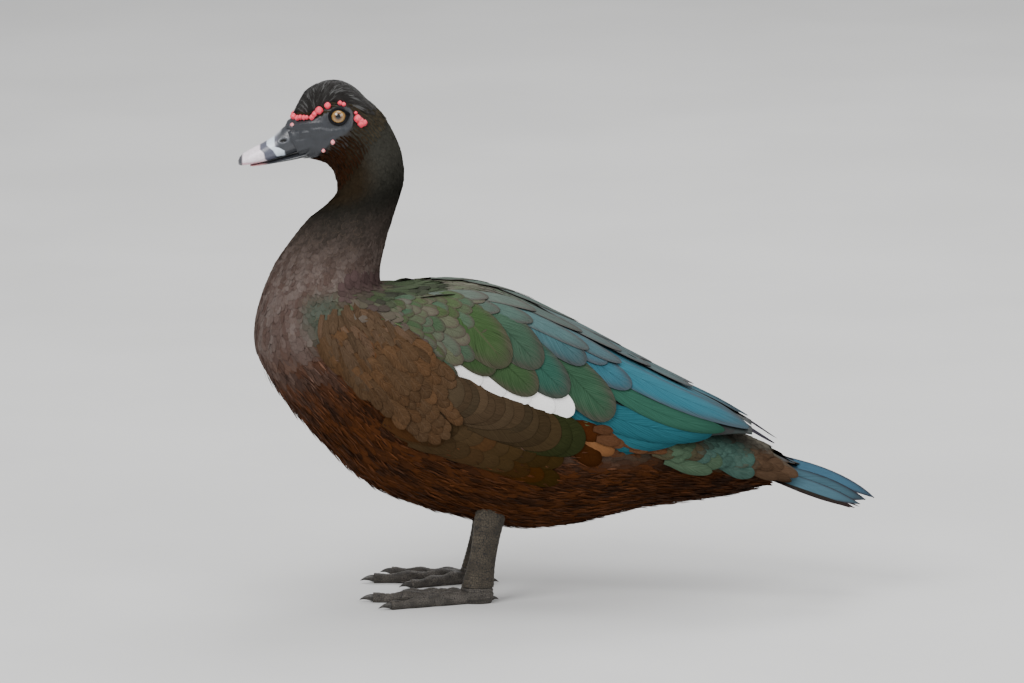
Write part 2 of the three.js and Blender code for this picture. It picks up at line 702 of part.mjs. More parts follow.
// Ankle block that the tarsus stands on.
function ankleSolid(side) {
  const heights = [0, 6, ANKLE_HEIGHT - 5, ANKLE_HEIGHT];
  const swell = [0.92, 1.08, 1.05, 1];
  const rings = heights.map((z, i) => steps(0, 2 * Math.PI, 12).slice(0, -1).map((angle) => (
    new THREE.Vector3(
      LEG_FOOT.x - 1 + LEG_FOOT.long * swell[i] * Math.cos(angle),
      side * STANCE + LEG_FOOT.wide * swell[i] * Math.sin(angle),
      z,
    )
  )));
  return solid(loft(rings));
}

function footGeometry(side) {
  const toes = [...TOES, HIND_TOE].map((toe) => toeSolid(side, toe));
  const webs = [webSolid(side, TOES[0], TOES[1]), webSolid(side, TOES[1], TOES[2])];
  return geometryOf(joined(ankleSolid(side), [...toes, ...webs]));
}

// Curved claw in front of a toe's flat end.
function clawGeometry(side, toe) {
  const size = toe === HIND_TOE ? 0.6 : 1;
  const forward = toePoint(side, toe, 1).sub(toePoint(side, toe, 0));
  const across = new THREE.Vector3(-forward.y, forward.x, 0);
  const start = toe.length + GAP;
  const rings = [0, 0.35, 0.7, 1].map((t) => {
    const centre = toePoint(side, toe, start + t * CLAW_LENGTH * size);
    const radius = toe.tip * (0.8 - 0.68 * t ** 1.2);
    const height = toe.tip * 0.9 + 1.2 * Math.sin(Math.PI * 0.7 * t) - toe.tip * 0.62 * t * t;
    return steps(0, 2 * Math.PI, 6).slice(0, -1).map((angle) => {
      const p = centre.clone().addScaledVector(across, 0.75 * radius * Math.sin(angle));
      p.z = Math.max(0, height + radius * Math.cos(angle));
      return p;
    });
  });
  return geometryOf(solid(loft(rings)));
}

// The whole bird

const COLOURS = {
  plumage: ['#2b231c', 0.75, 0.0],
  glossy_feathers: ['#1f4a44', 0.45, 0.1],
  bare_skin: ['#3d4144', 0.6, 0.0],
  horn: ['#8f9096', 0.4, 0.0],
  eye: ['#c9a35c', 0.15, 0.0],
  claw: ['#2a2724', 0.5, 0.0],
};

const duck = new THREE.Group();

function add(name, geometry, finish) {
  const [color, roughness, metalness] = COLOURS[finish];
  const mesh = new THREE.Mesh(geometry, new THREE.MeshStandardMaterial({ color, roughness, metalness }));
  mesh.name = name;
  duck.add(mesh);
}

const torsoCutter = solid(bodyLoft(NECK_END, TORSO_END, 24, GAP));

add('head', headGeometry(), 'plumage');
add('crest', crestGeometry(), 'plumage');
add('bill_upper', billGeometry(BILL_UPPER, 0.3, [nostril(-1), nostril(1)]), 'horn');
add('bill_lower', billGeometry(BILL_LOWER, 0.3), 'horn');
add('neck', bodyLoft(HEAD_END, NECK_END, 11), 'plumage');
add('torso', bodyLoft(NECK_END, TORSO_END, 24), 'plumage');
add('tail', tailGeometry(), 'glossy_feathers');
[['left', -1], ['right', 1]].forEach(([label, side]) => {
  add(`eye_${label}`, geometryOf(eyeball(side, EYE_RADIUS)), 'eye');
  add(`wing_${label}`, wingGeometry(side), 'glossy_feathers');
  add(`leg_${label}`, legGeometry(side), 'bare_skin');
  add(`foot_${label}`, footGeometry(side), 'bare_skin');
  [...TOES, HIND_TOE].forEach((toe) => {
    add(`claw_${label}_${toe.name}`, clawGeometry(side, toe), 'claw');
  });
});

// Stand the bird on the ground with its box centred on the origin.
const box = new THREE.Box3().setFromObject(duck);
const middle = box.getCenter(new THREE.Vector3());
duck.position.set(-middle.x, -middle.y, -box.min.z);
duck.updateMatrixWorld(true);

export default duck;
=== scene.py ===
"""A muscovy duck, life size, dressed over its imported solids.

Metres, +Z up, in the same frame as the solids: the bill points along -X and the bird's left side
faces -Y. The plumage is made of closed thin vanes that follow the body, wing and tail surfaces.
"""

import math

import bpy
import numpy as np
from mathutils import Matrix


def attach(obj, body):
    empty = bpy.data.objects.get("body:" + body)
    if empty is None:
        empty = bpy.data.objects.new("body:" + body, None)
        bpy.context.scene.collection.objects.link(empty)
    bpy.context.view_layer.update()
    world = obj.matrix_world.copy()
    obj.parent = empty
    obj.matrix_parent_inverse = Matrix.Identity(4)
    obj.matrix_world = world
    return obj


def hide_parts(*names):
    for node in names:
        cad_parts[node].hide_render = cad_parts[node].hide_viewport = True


bl_info = {
    "name": "Muscovy duck",
    "version": (1, 0, 0),
    "blender": (4, 5, 0),
    "location": "3D View > Sidebar > Duck",
    "description": "Dresses the packed duck with skin, feathers, bill, eyes and feet",
    "category": "Object",
}

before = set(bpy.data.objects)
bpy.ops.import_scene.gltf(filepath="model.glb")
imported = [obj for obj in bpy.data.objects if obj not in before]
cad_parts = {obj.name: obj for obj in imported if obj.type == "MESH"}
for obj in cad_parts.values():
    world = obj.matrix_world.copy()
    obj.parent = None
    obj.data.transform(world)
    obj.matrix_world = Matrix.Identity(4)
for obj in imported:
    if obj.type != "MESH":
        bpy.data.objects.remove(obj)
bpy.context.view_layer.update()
MM = 0.001
TURN = 2 * math.pi
SIDES = {"left": -1, "right": 1}

# Body outline, from the bill's base to the root of the tail. Each row is one ring: x and z of its
# top, x and z of its underside, its half width, and how much wider it is below its middle.
BODY = np.array([
    [-258.4, 446.6, -242.2, 419.6, 13.4, 0.0],
    [-251.8, 462.0, -235.6, 418.6, 16.0, 0.05],
    [-240.3, 477.0, -225.1, 417.6, 19.5, 0.08],
    [-225.1, 486.0, -216.6, 413.7, 22.5, 0.08],
    [-207.1, 487.5, -210.9, 407.0, 24.5, 0.08],
    [-187.1, 481.0, -209.0, 399.3, 25.5, 0.08],
    [-166.2, 464.9, -208.0, 392.6, 26.0, 0.04],
    [-151.0, 439.8, -209.0, 385.8, 26.0, 0.0],
    [-144.4, 411.8, -213.8, 379.0, 26.0, 0.0],
    [-145.3, 392.6, -222.3, 371.3, 26.5, 0.0],
    [-152.0, 370.4, -235.6, 360.7, 28.5, 0.0],
    [-159.6, 346.3, -249.8, 343.4, 33.0, 0.0],
    [-166.2, 322.0, -266.0, 320.2, 41.0, -0.04],
    [-167.2, 305.4, -278.3, 293.2, 52.0, -0.08],
    [-161.5, 301.9, -285.9, 266.2, 62.0, -0.1],
    [-150.1, 302.4, -286.9, 240.2, 71.0, -0.1],
    [-133.9, 303.0, -277.4, 216.0, 79.0, -0.08],
    [-110.2, 301.0, -258.4, 187.1, 85.0, -0.04],
    [-81.7, 295.0, -228.0, 152.4, 90.0, 0.0],
    [-53.2, 285.0, -186.2, 111.9, 93.0, 0.02],
    [-24.7, 272.0, -143.4, 90.7, 94.0, 0.03],
    [3.8, 256.0, -91.2, 75.2, 94.0, 0.04],
    [32.3, 238.0, -34.2, 64.6, 92.0, 0.04],
    [60.8, 219.0, 22.8, 70.4, 86.0, 0.02],
    [94.0, 198.0, 72.2, 82.9, 76.0, 0.0],
    [132.0, 175.0, 117.8, 89.7, 62.0, 0.0],
    [170.0, 154.0, 165.3, 96.5, 47.0, 0.0],
    [198.5, 142.0, 198.5, 104.2, 36.0, 0.0],
    [220.0, 132.5, 222.0, 102.0, 32.0, 0.0],
    [243.0, 122.5, 244.0, 103.0, 31.0, 0.0],
    [264.0, 111.5, 264.0, 102.5, 31.0, 0.0],
]) * [MM, MM, MM, MM, MM, 1]
HEAD_END, BODY_END, SKIN_END = 6, 30, 28.6

# Halves of the bill from the tip to the base: x and z of the top, of the underside, half width.
BILL_UPPER = np.array([
    [-301.6, 416.6, -301.2, 413.0, 3.0],
    [-299.6, 420.6, -298.6, 412.4, 7.4],
    [-294.0, 425.4, -292.6, 413.2, 10.9],
    [-287.0, 429.4, -285.0, 414.6, 12.2],
    [-278.0, 434.0, -274.4, 416.8, 12.3],
    [-269.5, 439.4, -263.6, 419.8, 12.1],
    [-262.6, 445.4, -253.6, 422.8, 12.3],
    [-258.7, 448.8, -246.0, 425.4, 13.0],
    [-251.0, 455.0, -237.0, 428.6, 13.2],
]) * MM
BILL_LOWER = np.array([
    [-290.0, 413.2, -290.4, 412.0, 6.0],
    [-284.6, 414.2, -284.8, 412.6, 9.6],
    [-274.0, 416.4, -274.0, 414.2, 10.9],
    [-263.4, 419.4, -262.4, 416.0, 10.9],
    [-253.4, 422.4, -251.6, 417.8, 11.3],
    [-246.3, 424.6, -243.3, 419.6, 12.0],
    [-237.5, 427.5, -235.0, 421.6, 12.0],
]) * MM

# Folded wing: x, height of the back line, height of the lower edge, half width there, distance
# of the upper edge from the middle plane.
WING = np.array([
    [-172, 286, 246, 54, 44],
    [-148, 306, 238, 89, 49],
    [-110, 309, 222, 100, 40],
    [-72, 303, 214, 105, 29],
    [-34, 290, 207, 105, 18],
    [4, 270, 192, 101, 10],
    [42, 248, 168, 95, 5],
    [80, 227, 163, 86, 3],
    [118, 207, 163, 73, 3],
    [156, 187.5, 163, 56, 3],
    [184, 169, 160, 42, 4],
    [212, 149.5, 147, 24, 6],
]) * MM

TAIL_ROOT, TAIL_HEIGHT, TAIL_HALF_BASE = 206 * MM, 121 * MM, 23 * MM
TAIL_SPREAD, TAIL_SLOPE, TAIL_ROOF, TAIL_ROLL = 0.24, 0.28, 0.1, 0.1

EYE_X, EYE_Z = -206.4 * MM, 462.7 * MM
EYE_RADIUS, EYE_SHOWING = 8.6 * MM, 7.0 * MM
EYE_SINK = math.sqrt(EYE_RADIUS ** 2 - EYE_SHOWING ** 2)

# Red caruncles on the left side: x, z and radius of each bulb.
BROW_ROW = np.array([
    [-249.0, 462.3, 2.8], [-245.4, 461.0, 2.5], [-242.4, 461.5, 2.3], [-238.8, 461.2, 2.2],
    [-236.0, 461.2, 1.9], [-231.4, 461.2, 2.4], [-228.6, 464.4, 2.6], [-224.4, 467.7, 3.6],
    [-216.3, 472.3, 2.8], [-204.8, 474.6, 2.1], [-201.4, 473.4, 2.1],
]) * MM
REAR_CLUSTER = np.array([
    [-189.8, 465.7, 1.5], [-188.2, 460.6, 3.5], [-185.1, 458.4, 2.9], [-184.8, 455.7, 3.2],
    [-181.4, 456.7, 2.6],
]) * MM
CHIN_BULBS = np.array([[-211.5, 438.6, 2.0], [-220.4, 429.8, 1.6], [-250.6, 454.2, 1.8]]) * MM


# Tables and surfaces

def along(table, column, place):
    """Value of one column at fractional rows, by a smooth curve through the rows."""
    last = len(table) - 1
    at = np.clip(np.asarray(place, float), 0, last)
    i = np.minimum(at.astype(int), last - 1)
    t = at - i
    values = table[:, column]
    padded = np.concatenate([[2 * values[0] - values[1]], values, [2 * values[-1] - values[-2]]])
    a, b, c, d = (padded[i + k] for k in range(4))
    bend = 2 * a - 5 * b + 4 * c - d
    rest = 3 * b - a - 3 * c + d
    return b + 0.5 * t * (c - a + t * (bend + t * rest))


def ring_frame(table, place, grow=0.0):
    """Middle, upward direction, half height and half width of the rings at these places."""
    top = np.stack([along(table, 0, place), along(table, 1, place)], -1)
    bottom = np.stack([along(table, 2, place), along(table, 3, place)], -1)
    centre = (top + bottom) / 2
    up = top - centre
    half = np.linalg.norm(up, axis=-1)
    return centre, up / half[..., None], half + grow, along(table, 4, place) + grow


# How much lower the middle of the back lies between the neck and the wings.
SADDLE = 4.5 * MM


def body_point(place, angle, grow=0.0):
    """Points of the body: angle 0 is the back, a quarter turn is the right side."""
    place, angle, grow = np.broadcast_arrays(place, angle, grow)
    centre, up, half, width = ring_frame(BODY, place, grow)
    rise = np.cos(angle)
    side = np.sin(angle) * (1 - along(BODY, 5, place) * rise)
    x = centre[..., 0] + up[..., 0] * half * rise
    z = centre[..., 1] + up[..., 1] * half * rise
    z = z - SADDLE * between(place, 10.8, 12.2, 16, 19) * smooth(rise, 0.45, 0.95)
    return np.stack([x, width * side, z], -1)


def row_at(table, x):
    """Fractional row of a table where its first column, which only rises, has this value."""
    fine = np.linspace(0, len(table) - 1, 600)
    return np.interp(x, along(table, 0, fine), fine)


# How much lower the upper edge of a folded wing lies behind the shoulder.
SHOULDER_DIP = 5 * MM


def wing_edge(x):
    """A folded wing's column values, the angle of its upper edge and how low it lies there."""
    row = row_at(WING, x)
    top, low, width, edge = (along(WING, column, row) for column in (1, 2, 3, 4))
    start = np.arccos(np.minimum(1, edge / width))
    dip = SHOULDER_DIP * smooth(x, -0.155, -0.13) * (1 - 0.6 * smooth(x, -0.01, 0.04))
    return top, low, width, edge, start, dip


def wing_point(side):
    """Surface of one folded wing: x along it, and across it from 0, its upper edge, to 1.

    Below 0 it lies flat over the back, and folds down where it meets the other wing."""
    def point(x, across, lift=0.0):
        x, across, lift = np.broadcast_arrays(x, across, lift)
        top, low, width, edge, start, dip = wing_edge(x)
        angle = start * (1 - np.maximum(across, 0)) - 0.06 * np.maximum(across, 0)
        inner = np.maximum(-across, 0) * start * width
        fold = np.maximum(0, inner - np.maximum(edge - 0.0012, 0))
        y = (width + lift) * np.cos(angle) - inner + fold
        z = low + (top - low + lift) * np.sin(angle) - dip * (1 - smooth(across, 0.0, 0.4))
        return np.stack([x, side * y, z - 0.12 * inner - 0.8 * fold], -1)
    return point


# Rows of the body under the wings, and the height and half width of the back's curve there.
UNDER_WINGS, BACK_CURVE, BACK_HALF = slice(13, 24), 45 * MM, 80 * MM


def back_point(x, share, lift=0.0):
    """Surface of the back between the wings: x along it, share from the left wing, -1, to the right."""
    x, share, lift = np.broadcast_arrays(x, share, lift)
    top, low, _, edge, start, dip = wing_edge(x)
    wing = low + (top - low) * np.sin(start) - dip - 1 * MM * (1 - share ** 2)
    half = edge + 4 * MM
    fall = BACK_CURVE * (1 - np.sqrt(1 - (half * share / BACK_HALF) ** 2))
    body = np.interp(x, BODY[UNDER_WINGS, 0], BODY[UNDER_WINGS, 1]) - fall
    return np.stack([x, half * share, np.maximum(wing, body - SADDLE) + lift], -1)


def tail_point(share, out, lift=0.0):
    """Surface of the tail fan: share from its left edge, -1, to its right, 1, and out from its root."""
    turn = share * TAIL_SPREAD
    x = TAIL_ROOT + out * np.cos(turn)
    y = TAIL_HALF_BASE * share + out * np.sin(turn)
    fall = (x - TAIL_ROOT) * TAIL_SLOPE + np.abs(y) * TAIL_ROOF - y * TAIL_ROLL
    return np.stack([x, y, TAIL_HEIGHT - fall + lift], -1)


def unit(vectors):
    """Vectors at length 1."""
    return vectors / np.maximum(np.linalg.norm(vectors, axis=-1, keepdims=True), 1e-12)


def dot(a, b):
    """Products of vectors, row by row."""
    return (a * b).sum(-1)


def smooth(value, low, high):
    """0 below low, 1 above high, with a soft step between."""
    t = np.clip((np.asarray(value, float) - low) / (high - low), 0, 1)
    return t * t * (3 - 2 * t)


def between(value, start, full, fall, end):
    """1 from full to fall and 0 outside start and end, with soft steps."""
    return smooth(value, start, full) * (1 - smooth(value, fall, end))


def ring_angles(count):
    """Angles of the points round a closed ring, as one row."""
    return (np.arange(count) * TURN / count)[None, :]


def past(value, other, line, soft):
    """0 before a line and 1 past it, with a soft step. The line lists the other value and this one."""
    return smooth(value - np.interp(other, line[:, 0], line[:, 1]), -soft, soft)


# How far the flanks stand out over the lower edge of the wings.
FLANK_SWELL = 14 * MM


def coat_point(place, angle, grow=0.0):
    """The surface that the coat lies on: close on the forehead and nape, full at the flanks.

    The flanks' feathers wrap over the wing's lower edge, so the body swells there."""
    forehead = 2.6 * MM * between(place, 0.5, 0.9, 1.7, 2.3) * smooth(np.cos(angle), 0.0, 0.8)
    nape = 1.2 * MM * between(place, 4.8, 5.4, 6.8, 7.6)
    point = body_point(place, angle, grow - (forehead + nape))
    turn = np.abs((np.asarray(angle) + math.pi) % TURN - math.pi)
    swell = FLANK_SWELL * between(place, 15.5, 18.5, 21.8, 24.5) * between(turn, 0.7, 1.15, 1.35, 2.3)
    point[..., 1] += np.sign(np.sin(angle)) * swell
    return point


def mottle(points, size, seed):
    """Smooth random values from 0 to 1 in space, as a sum of waves in drawn directions."""
    rng = np.random.default_rng(seed)
    total = np.zeros(points.shape[:-1])
    for _ in range(8):
        direction = unit(rng.normal(size=3)) * TURN / size * rng.uniform(0.6, 1.6)
        total += np.sin(points @ direction + rng.uniform(0, TURN))
    return np.clip(0.5 + total / 5, 0, 1)


class Surface:
    """A curved surface over two values a and b, with the side that faces out (1 or -1)."""

    def __init__(self, point, facing=1, step=(1e-3, 1e-3), span=((0, 1), (0, 1))):
        self.point, self.facing, self.step, self.span = point, facing, step, span

    def tangents(self, a, b):
        """Change of the point with a and with b, and the outward direction."""
        da, db = self.step
        along_a = (self.point(a + da, b) - self.point(a - da, b)) / (2 * da)
        along_b = (self.point(a, b + db) - self.point(a, b - db)) / (2 * db)
        return along_a, along_b, unit(np.cross(along_a, along_b)) * self.facing

    def shift(self, along_a, along_b, vector):
        """Changes of a and b that move the point by this tangent vector."""
        aa, bb, ab = dot(along_a, along_a), dot(along_b, along_b), dot(along_a, along_b)
        va, vb = dot(vector, along_a), dot(vector, along_b)
        det = aa * bb - ab * ab
        return (va * bb - vb * ab) / det, (vb * aa - va * ab) / det

    def onward(self, a, b, turn, length):
        """Values of a and b a length further on, in the direction in which a grows, turned by an angle."""
        along_a, along_b, normal = self.tangents(a, b)
        forward = unit(along_a)
        way = forward * np.cos(turn)[:, None] + np.cross(normal, forward) * np.sin(turn)[:, None]
        da, db = self.shift(along_a, along_b, way * length[:, None])
        return a + da, b + db

    def patch(self, a, b):
        """Place on a flat unwrap of the surface, from 0 to 1 both ways with a small margin."""
        (a0, a1), (b0, b1) = self.span
        return np.stack([(b - b0) / (b1 - b0), (a - a0) / (a1 - a0)], -1) * 0.94 + 0.03


BODY_SURFACE = Surface(coat_point, 1, (1e-2, 1e-2), ((0, BODY_END), (-math.pi, math.pi)))
WING_SURFACES = {
    name: Surface(wing_point(side), side, (1e-3, 1e-2), ((-0.2, 0.24), (-0.1, 1.2)))
    for name, side in SIDES.items()
}
BACK_SURFACE = Surface(back_point, -1, (1e-3, 1e-2), ((-0.2, 0.1), (-1.2, 1.2)))
TAIL_SURFACE = Surface(tail_point, -1, (1e-2, 1e-3), ((-1.2, 1.2), (-0.02, 0.11)))


def left_side_at(x, z):
    """Place and angle on the left side of the head whose side view falls on x and z."""
    places, angles = np.meshgrid(np.linspace(0, HEAD_END, 481), -np.linspace(0.02, 0.98, 481) * math.pi)
    points = body_point(places, angles)
    best = np.argmin(np.hypot(points[..., 0] - x, points[..., 2] - z))
    return places.flat[best], angles.flat[best]


def eye_seat(side):
    """Centre of the eyeball and the direction it faces."""
    place, angle = left_side_at(EYE_X, EYE_Z)
    normal = BODY_SURFACE.tangents(place, angle)[2]
    outward = unit(0.5 * np.array([0, -1, 0]) + 0.5 * normal)
    centre = body_point(place, angle) - outward * EYE_SINK
    flip = np.array([1, -side, 1])
    return centre * flip, outward * flip


# Meshes

# Edges that turn by more than this, in radians, stay sharp on a vane.
RIM_ANGLE = 1.9


def mesh_object(name, points, faces, material, slot=None, uvs=None, colours=None, crease=False):
    """A mesh of quads and triangles that rides on the body.

    uvs maps a name to one pair per point, colours maps a name to one colour per point. crease keeps
    thin rims sharp, so that vanes shade evenly up to their edge."""
    mesh = bpy.data.meshes.new(name)
    points = np.asarray(points, np.float32)
    sizes = [np.full(len(group), group.shape[1]) for group in faces]
    corners = np.concatenate([group.ravel() for group in faces]).astype(np.int32)
    starts = np.concatenate([[0], np.cumsum(np.concatenate(sizes))[:-1]]).astype(np.int32)
    mesh.vertices.add(len(points))
    mesh.vertices.foreach_set("co", points.ravel())
    mesh.loops.add(len(corners))
    mesh.loops.foreach_set("vertex_index", corners)
    mesh.polygons.add(len(starts))
    mesh.polygons.foreach_set("loop_start", starts)
    for label, values in (uvs or {}).items():
        layer = mesh.uv_layers.new(name=label)
        layer.data.foreach_set("uv", np.asarray(values, np.float32)[corners].ravel())
    for label, values in (colours or {}).items():
        full = np.ones((len(points), 4), np.float32)
        full[:, :3] = values
        mesh.color_attributes.new(label, "FLOAT_COLOR", "POINT").data.foreach_set("color", full.ravel())
    mesh.update(calc_edges=True)
    mesh.validate()
    mesh.shade_smooth()
    if crease:
        mesh.set_sharp_from_angle(angle=RIM_ANGLE)
    mesh.materials.append(material)
    piece = bpy.data.objects.new(name, mesh)
    bpy.context.scene.collection.objects.link(piece)
    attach(piece, "root")
    return piece


def grid_faces(rows, columns, closed=False):
    """Quads of a grid of points, joined round if closed, that face out by the right-hand rule."""
    i, j = np.meshgrid(np.arange(rows - 1), np.arange(columns if closed else columns - 1), indexing="ij")
    k = (j + 1) % columns
    quads = np.stack([i * columns + j, i * columns + k, (i + 1) * columns + k, (i + 1) * columns + j], -1)
    return quads.reshape(-1, 4)


def tube(rings):
    """Points and faces of a closed tube through rings of points, with fans at both ends."""
    count, around = rings.shape[:2]
    points = np.concatenate([rings.reshape(-1, 3), [rings[0].mean(0), rings[-1].mean(0)]])
    quads = grid_faces(count, around, closed=True)
    k = np.arange(around)
    after = (k + 1) % around
    first = np.stack([np.full(around, count * around), after, k], -1)
    end = (count - 1) * around
    last = np.stack([np.full(around, count * around + 1), end + k, end + after], -1)
    faces = [quads, np.concatenate([first, last])]
    return points, outward(points, faces)


def tube_values(values):
    """Values on a tube's rings and its two end points, in the order of the tube's points."""
    return np.concatenate([values.reshape(-1, values.shape[-1]), values[0, :1], values[-1, :1]])


def outward(points, faces):
    """The faces, turned round if the closed surface they make faces inwards."""
    volume = 0.0
    for group in faces:
        for k in range(1, group.shape[1] - 1):
            a, b, c = (points[group[:, i]] for i in (0, k, k + 1))
            volume += dot(a, np.cross(b, c)).sum()
    return faces if volume > 0 else [group[:, ::-1] for group in faces]


def merged(parts):
    """Points and faces of several closed pieces as one mesh."""
    points, quads, triangles, start = [], [], [], 0
    for part_points, faces in parts:
        for group in faces:
            (quads if group.shape[1] == 4 else triangles).append(group + start)
        points.append(part_points)
        start += len(part_points)
    kinds = [np.concatenate(group) for group in (quads, triangles) if group]
    return np.concatenate(points), kinds


def sheet_faces(rows, columns):
    """Quads of a thick sheet: an outer and an inner grid, joined round their rim."""
    top = grid_faces(rows, columns)
    rim = np.concatenate([np.arange(columns), np.arange(1, rows) * columns + columns - 1,
                          (rows - 1) * columns + np.arange(columns - 2, -1, -1),
                          np.arange(rows - 2, 0, -1) * columns])
    after, under = np.roll(rim, -1), rows * columns
    sides = np.stack([after, rim, rim + under, after + under], -1)
    return np.concatenate([top, top[:, ::-1] + under, sides])


def thick_sheet(outer, inner):
    """Points and faces of a closed sheet between two grids of points."""
    points = np.concatenate([outer.reshape(-1, 3), inner.reshape(-1, 3)])
    return points, outward(points, [sheet_faces(*outer.shape[:2])])


def lens_topology(rows, columns):
    """Faces of one vane: an outer and an inner grid that share their rim.

    Returns the quads, and which points of the inner grid are kept."""
    outer = np.arange(rows * columns).reshape(rows, columns)
    inside = np.zeros((rows, columns), bool)
    inside[1:-1, 1:-1] = True
    inner = outer.copy()
    inner[inside] = rows * columns + np.arange(inside.sum())
    quads = []
    for grid, order in ((outer, 1), (inner, -1)):
        corners = [grid[:-1, :-1], grid[1:, :-1], grid[1:, 1:], grid[:-1, 1:]]
        quads.append(np.stack(corners[:1] + corners[1:][::order], -1).reshape(-1, 4))
    return np.concatenate(quads), inside


def vane_width(t, root=0.5, widest=0.55, blunt=2.2, point=0.5):
    """Half width of a feather over its length: it grows from the root and rounds off at the tip."""
    grow = root + (1 - root) * smooth(t, 0, widest)
    tip = np.clip((t - widest) / (1 - widest), 0, 1)
    return grow * np.maximum(1 - tip ** blunt, 0) ** point


# Least width of a vane as a share of its widest, and the size of its patch on the coat's map.
NARROWEST, PATCH = 0.06, 0.003


class Vanes:
    """A batch of feathers on a surface, one row of every array per feather.

    a, b: root; a_tip, b_tip: tip, on the same surface. half: half width. lift, rise: height of the
    root and how much higher the tip lies. roll: height gained from one edge to the other. base and
    rim: colours of the middle and of the edge. shape: what vane_width takes after the length."""

    def __init__(self, surface, a, b, a_tip, b_tip, half, base, rim, lift=0.0, rise=0.001, roll=0.0,
                 thickness=0.0003, camber=0.06, curl=0.0, rows=6, columns=5, shape=(), mark=0.0):
        self.surface, self.rows, self.columns = surface, rows, columns
        n = len(a)
        self.a, self.b, self.a_tip, self.b_tip = a, b, a_tip, b_tip
        self.half, self.lift, self.rise, self.roll, self.camber, self.curl = (
            np.broadcast_to(value, n) for value in (half, lift, rise, roll, camber, curl))
        self.base = np.broadcast_to(base, (n, 3))
        self.rim = np.broadcast_to(rim, (n, 3))
        self.mark = np.broadcast_to(mark, n)
        self.thickness, self.shape = thickness, shape

    def build(self, seed):
        """Points, quads, maps and colours of the whole batch."""
        n = len(self.a)
        # Rows lie closer together towards the tip.
        spread = np.linspace(0, 1, self.rows)
        t = 1 - (1 - spread) ** (1.6 if self.rows > 9 else 1.25)
        u = np.linspace(-1, 1, self.columns)
        ca = self.a[:, None] + (self.a_tip - self.a)[:, None] * t
        cb = self.b[:, None] + (self.b_tip - self.b)[:, None] * t
        along_a, along_b, normal = self.surface.tangents(ca, cb)
        run = along_a * (self.a_tip - self.a)[:, None, None] + along_b * (self.b_tip - self.b)[:, None, None]
        forward = unit(run)
        sideways = np.cross(normal, forward)
        profile = np.maximum(vane_width(t, *self.shape), NARROWEST)
        width = profile * self.half[:, None]
        da, db = self.surface.shift(along_a, along_b, sideways)
        offset = width[..., None] * u
        a = ca[..., None] + da[..., None] * offset
        b = cb[..., None] + db[..., None] * offset
        points = self.surface.point(a, b)
        half, lift, rise, roll, camber, curl = (value[:, None, None] for value in (
            self.half, self.lift, self.rise, self.roll, self.camber, self.curl))
        out, side = t[:, None], profile[:, None] * u
        height = lift + rise * out + curl * out ** 3 + roll * side - camber * half * side ** 2
        outer = points + normal[:, :, None, :] * height[..., None]
        quads, inside = lens_topology(self.rows, self.columns)
        body = self.thickness * (1 - 0.6 * t)[None, :, None, None]
        inner = (outer - normal[:, :, None, :] * body)[:, inside]
        joined = np.concatenate([outer.reshape(n, -1, 3), inner], 1)
        count = joined.shape[1]
        faces = (quads[None] + (np.arange(n) * count)[:, None, None]).reshape(-1, 4)
        grid = np.stack(np.meshgrid(t, (u + 1) / 2, indexing="ij")[::-1], -1)
        local = np.concatenate([grid.reshape(-1, 2), grid[inside]])
        root = self.surface.patch(self.a, self.b)
        patch = root[:, None] + (local - 0.5)[None] * PATCH
        # What the material takes from each feather: its own draw, its mark and its width.
        rng = np.random.default_rng(seed)
        lot = np.stack([rng.random(n), self.mark, self.half * 20], -1)
        return {
            "points": joined.reshape(-1, 3),
            "faces": faces,
            "local": np.broadcast_to(local, (n, count, 2)).reshape(-1, 2),
            "patch": patch.reshape(-1, 2),
            "base": np.repeat(self.base, count, 0),
            "rim": np.repeat(self.rim, count, 0),
            "lot": np.repeat(lot, count, 0),
        }


# Most quads of one piece, which keeps it under 200,000 triangles.
MOST_QUADS = 95000


def cut_in_pieces(part, feathers):
    """The arrays of one batch as several of whole feathers, each under the limit on faces."""
    count = -(-len(part["faces"]) // MOST_QUADS)
    ends = np.linspace(0, feathers, count + 1).astype(int)
    each, quads = len(part["points"]) // feathers, len(part["faces"]) // feathers
    for first, last in zip(ends[:-1], ends[1:]):
        cut = {key: values[first * each:last * each] for key, values in part.items()}
        cut["faces"] = part["faces"][first * quads:last * quads] - first * each
        yield cut


def feather_pieces(name, batches, material, slot, seed=1):
    """Objects that hold these batches of feathers, each under the limit on triangles."""
    built = [cut for k, batch in enumerate(batches) if len(batch.a)
             for cut in cut_in_pieces(batch.build(seed + k), len(batch.a))]
    groups = [[]]
    for part in built:
        if sum(len(other["faces"]) for other in groups[-1] + [part]) > MOST_QUADS and groups[-1]:
            groups.append([])
        groups[-1].append(part)
    pieces = []
    for k, group in enumerate(groups):
        starts = np.cumsum([0] + [len(part["points"]) for part in group])
        joined = {key: np.concatenate([part[key] for part in group]) for key in group[0]}
        faces = np.concatenate([part["faces"] + start for part, start in zip(group, starts)])
        pieces.append(mesh_object(
            f"{name}_{k + 1}" if k else name, joined["points"], [faces], material, slot, crease=True,
            uvs={"OFBake": joined["patch"], "Feather": joined["local"]},
            colours={"Base": joined["base"], "Rim": joined["rim"], "Lot": joined["lot"]}))
    return pieces


# Materials

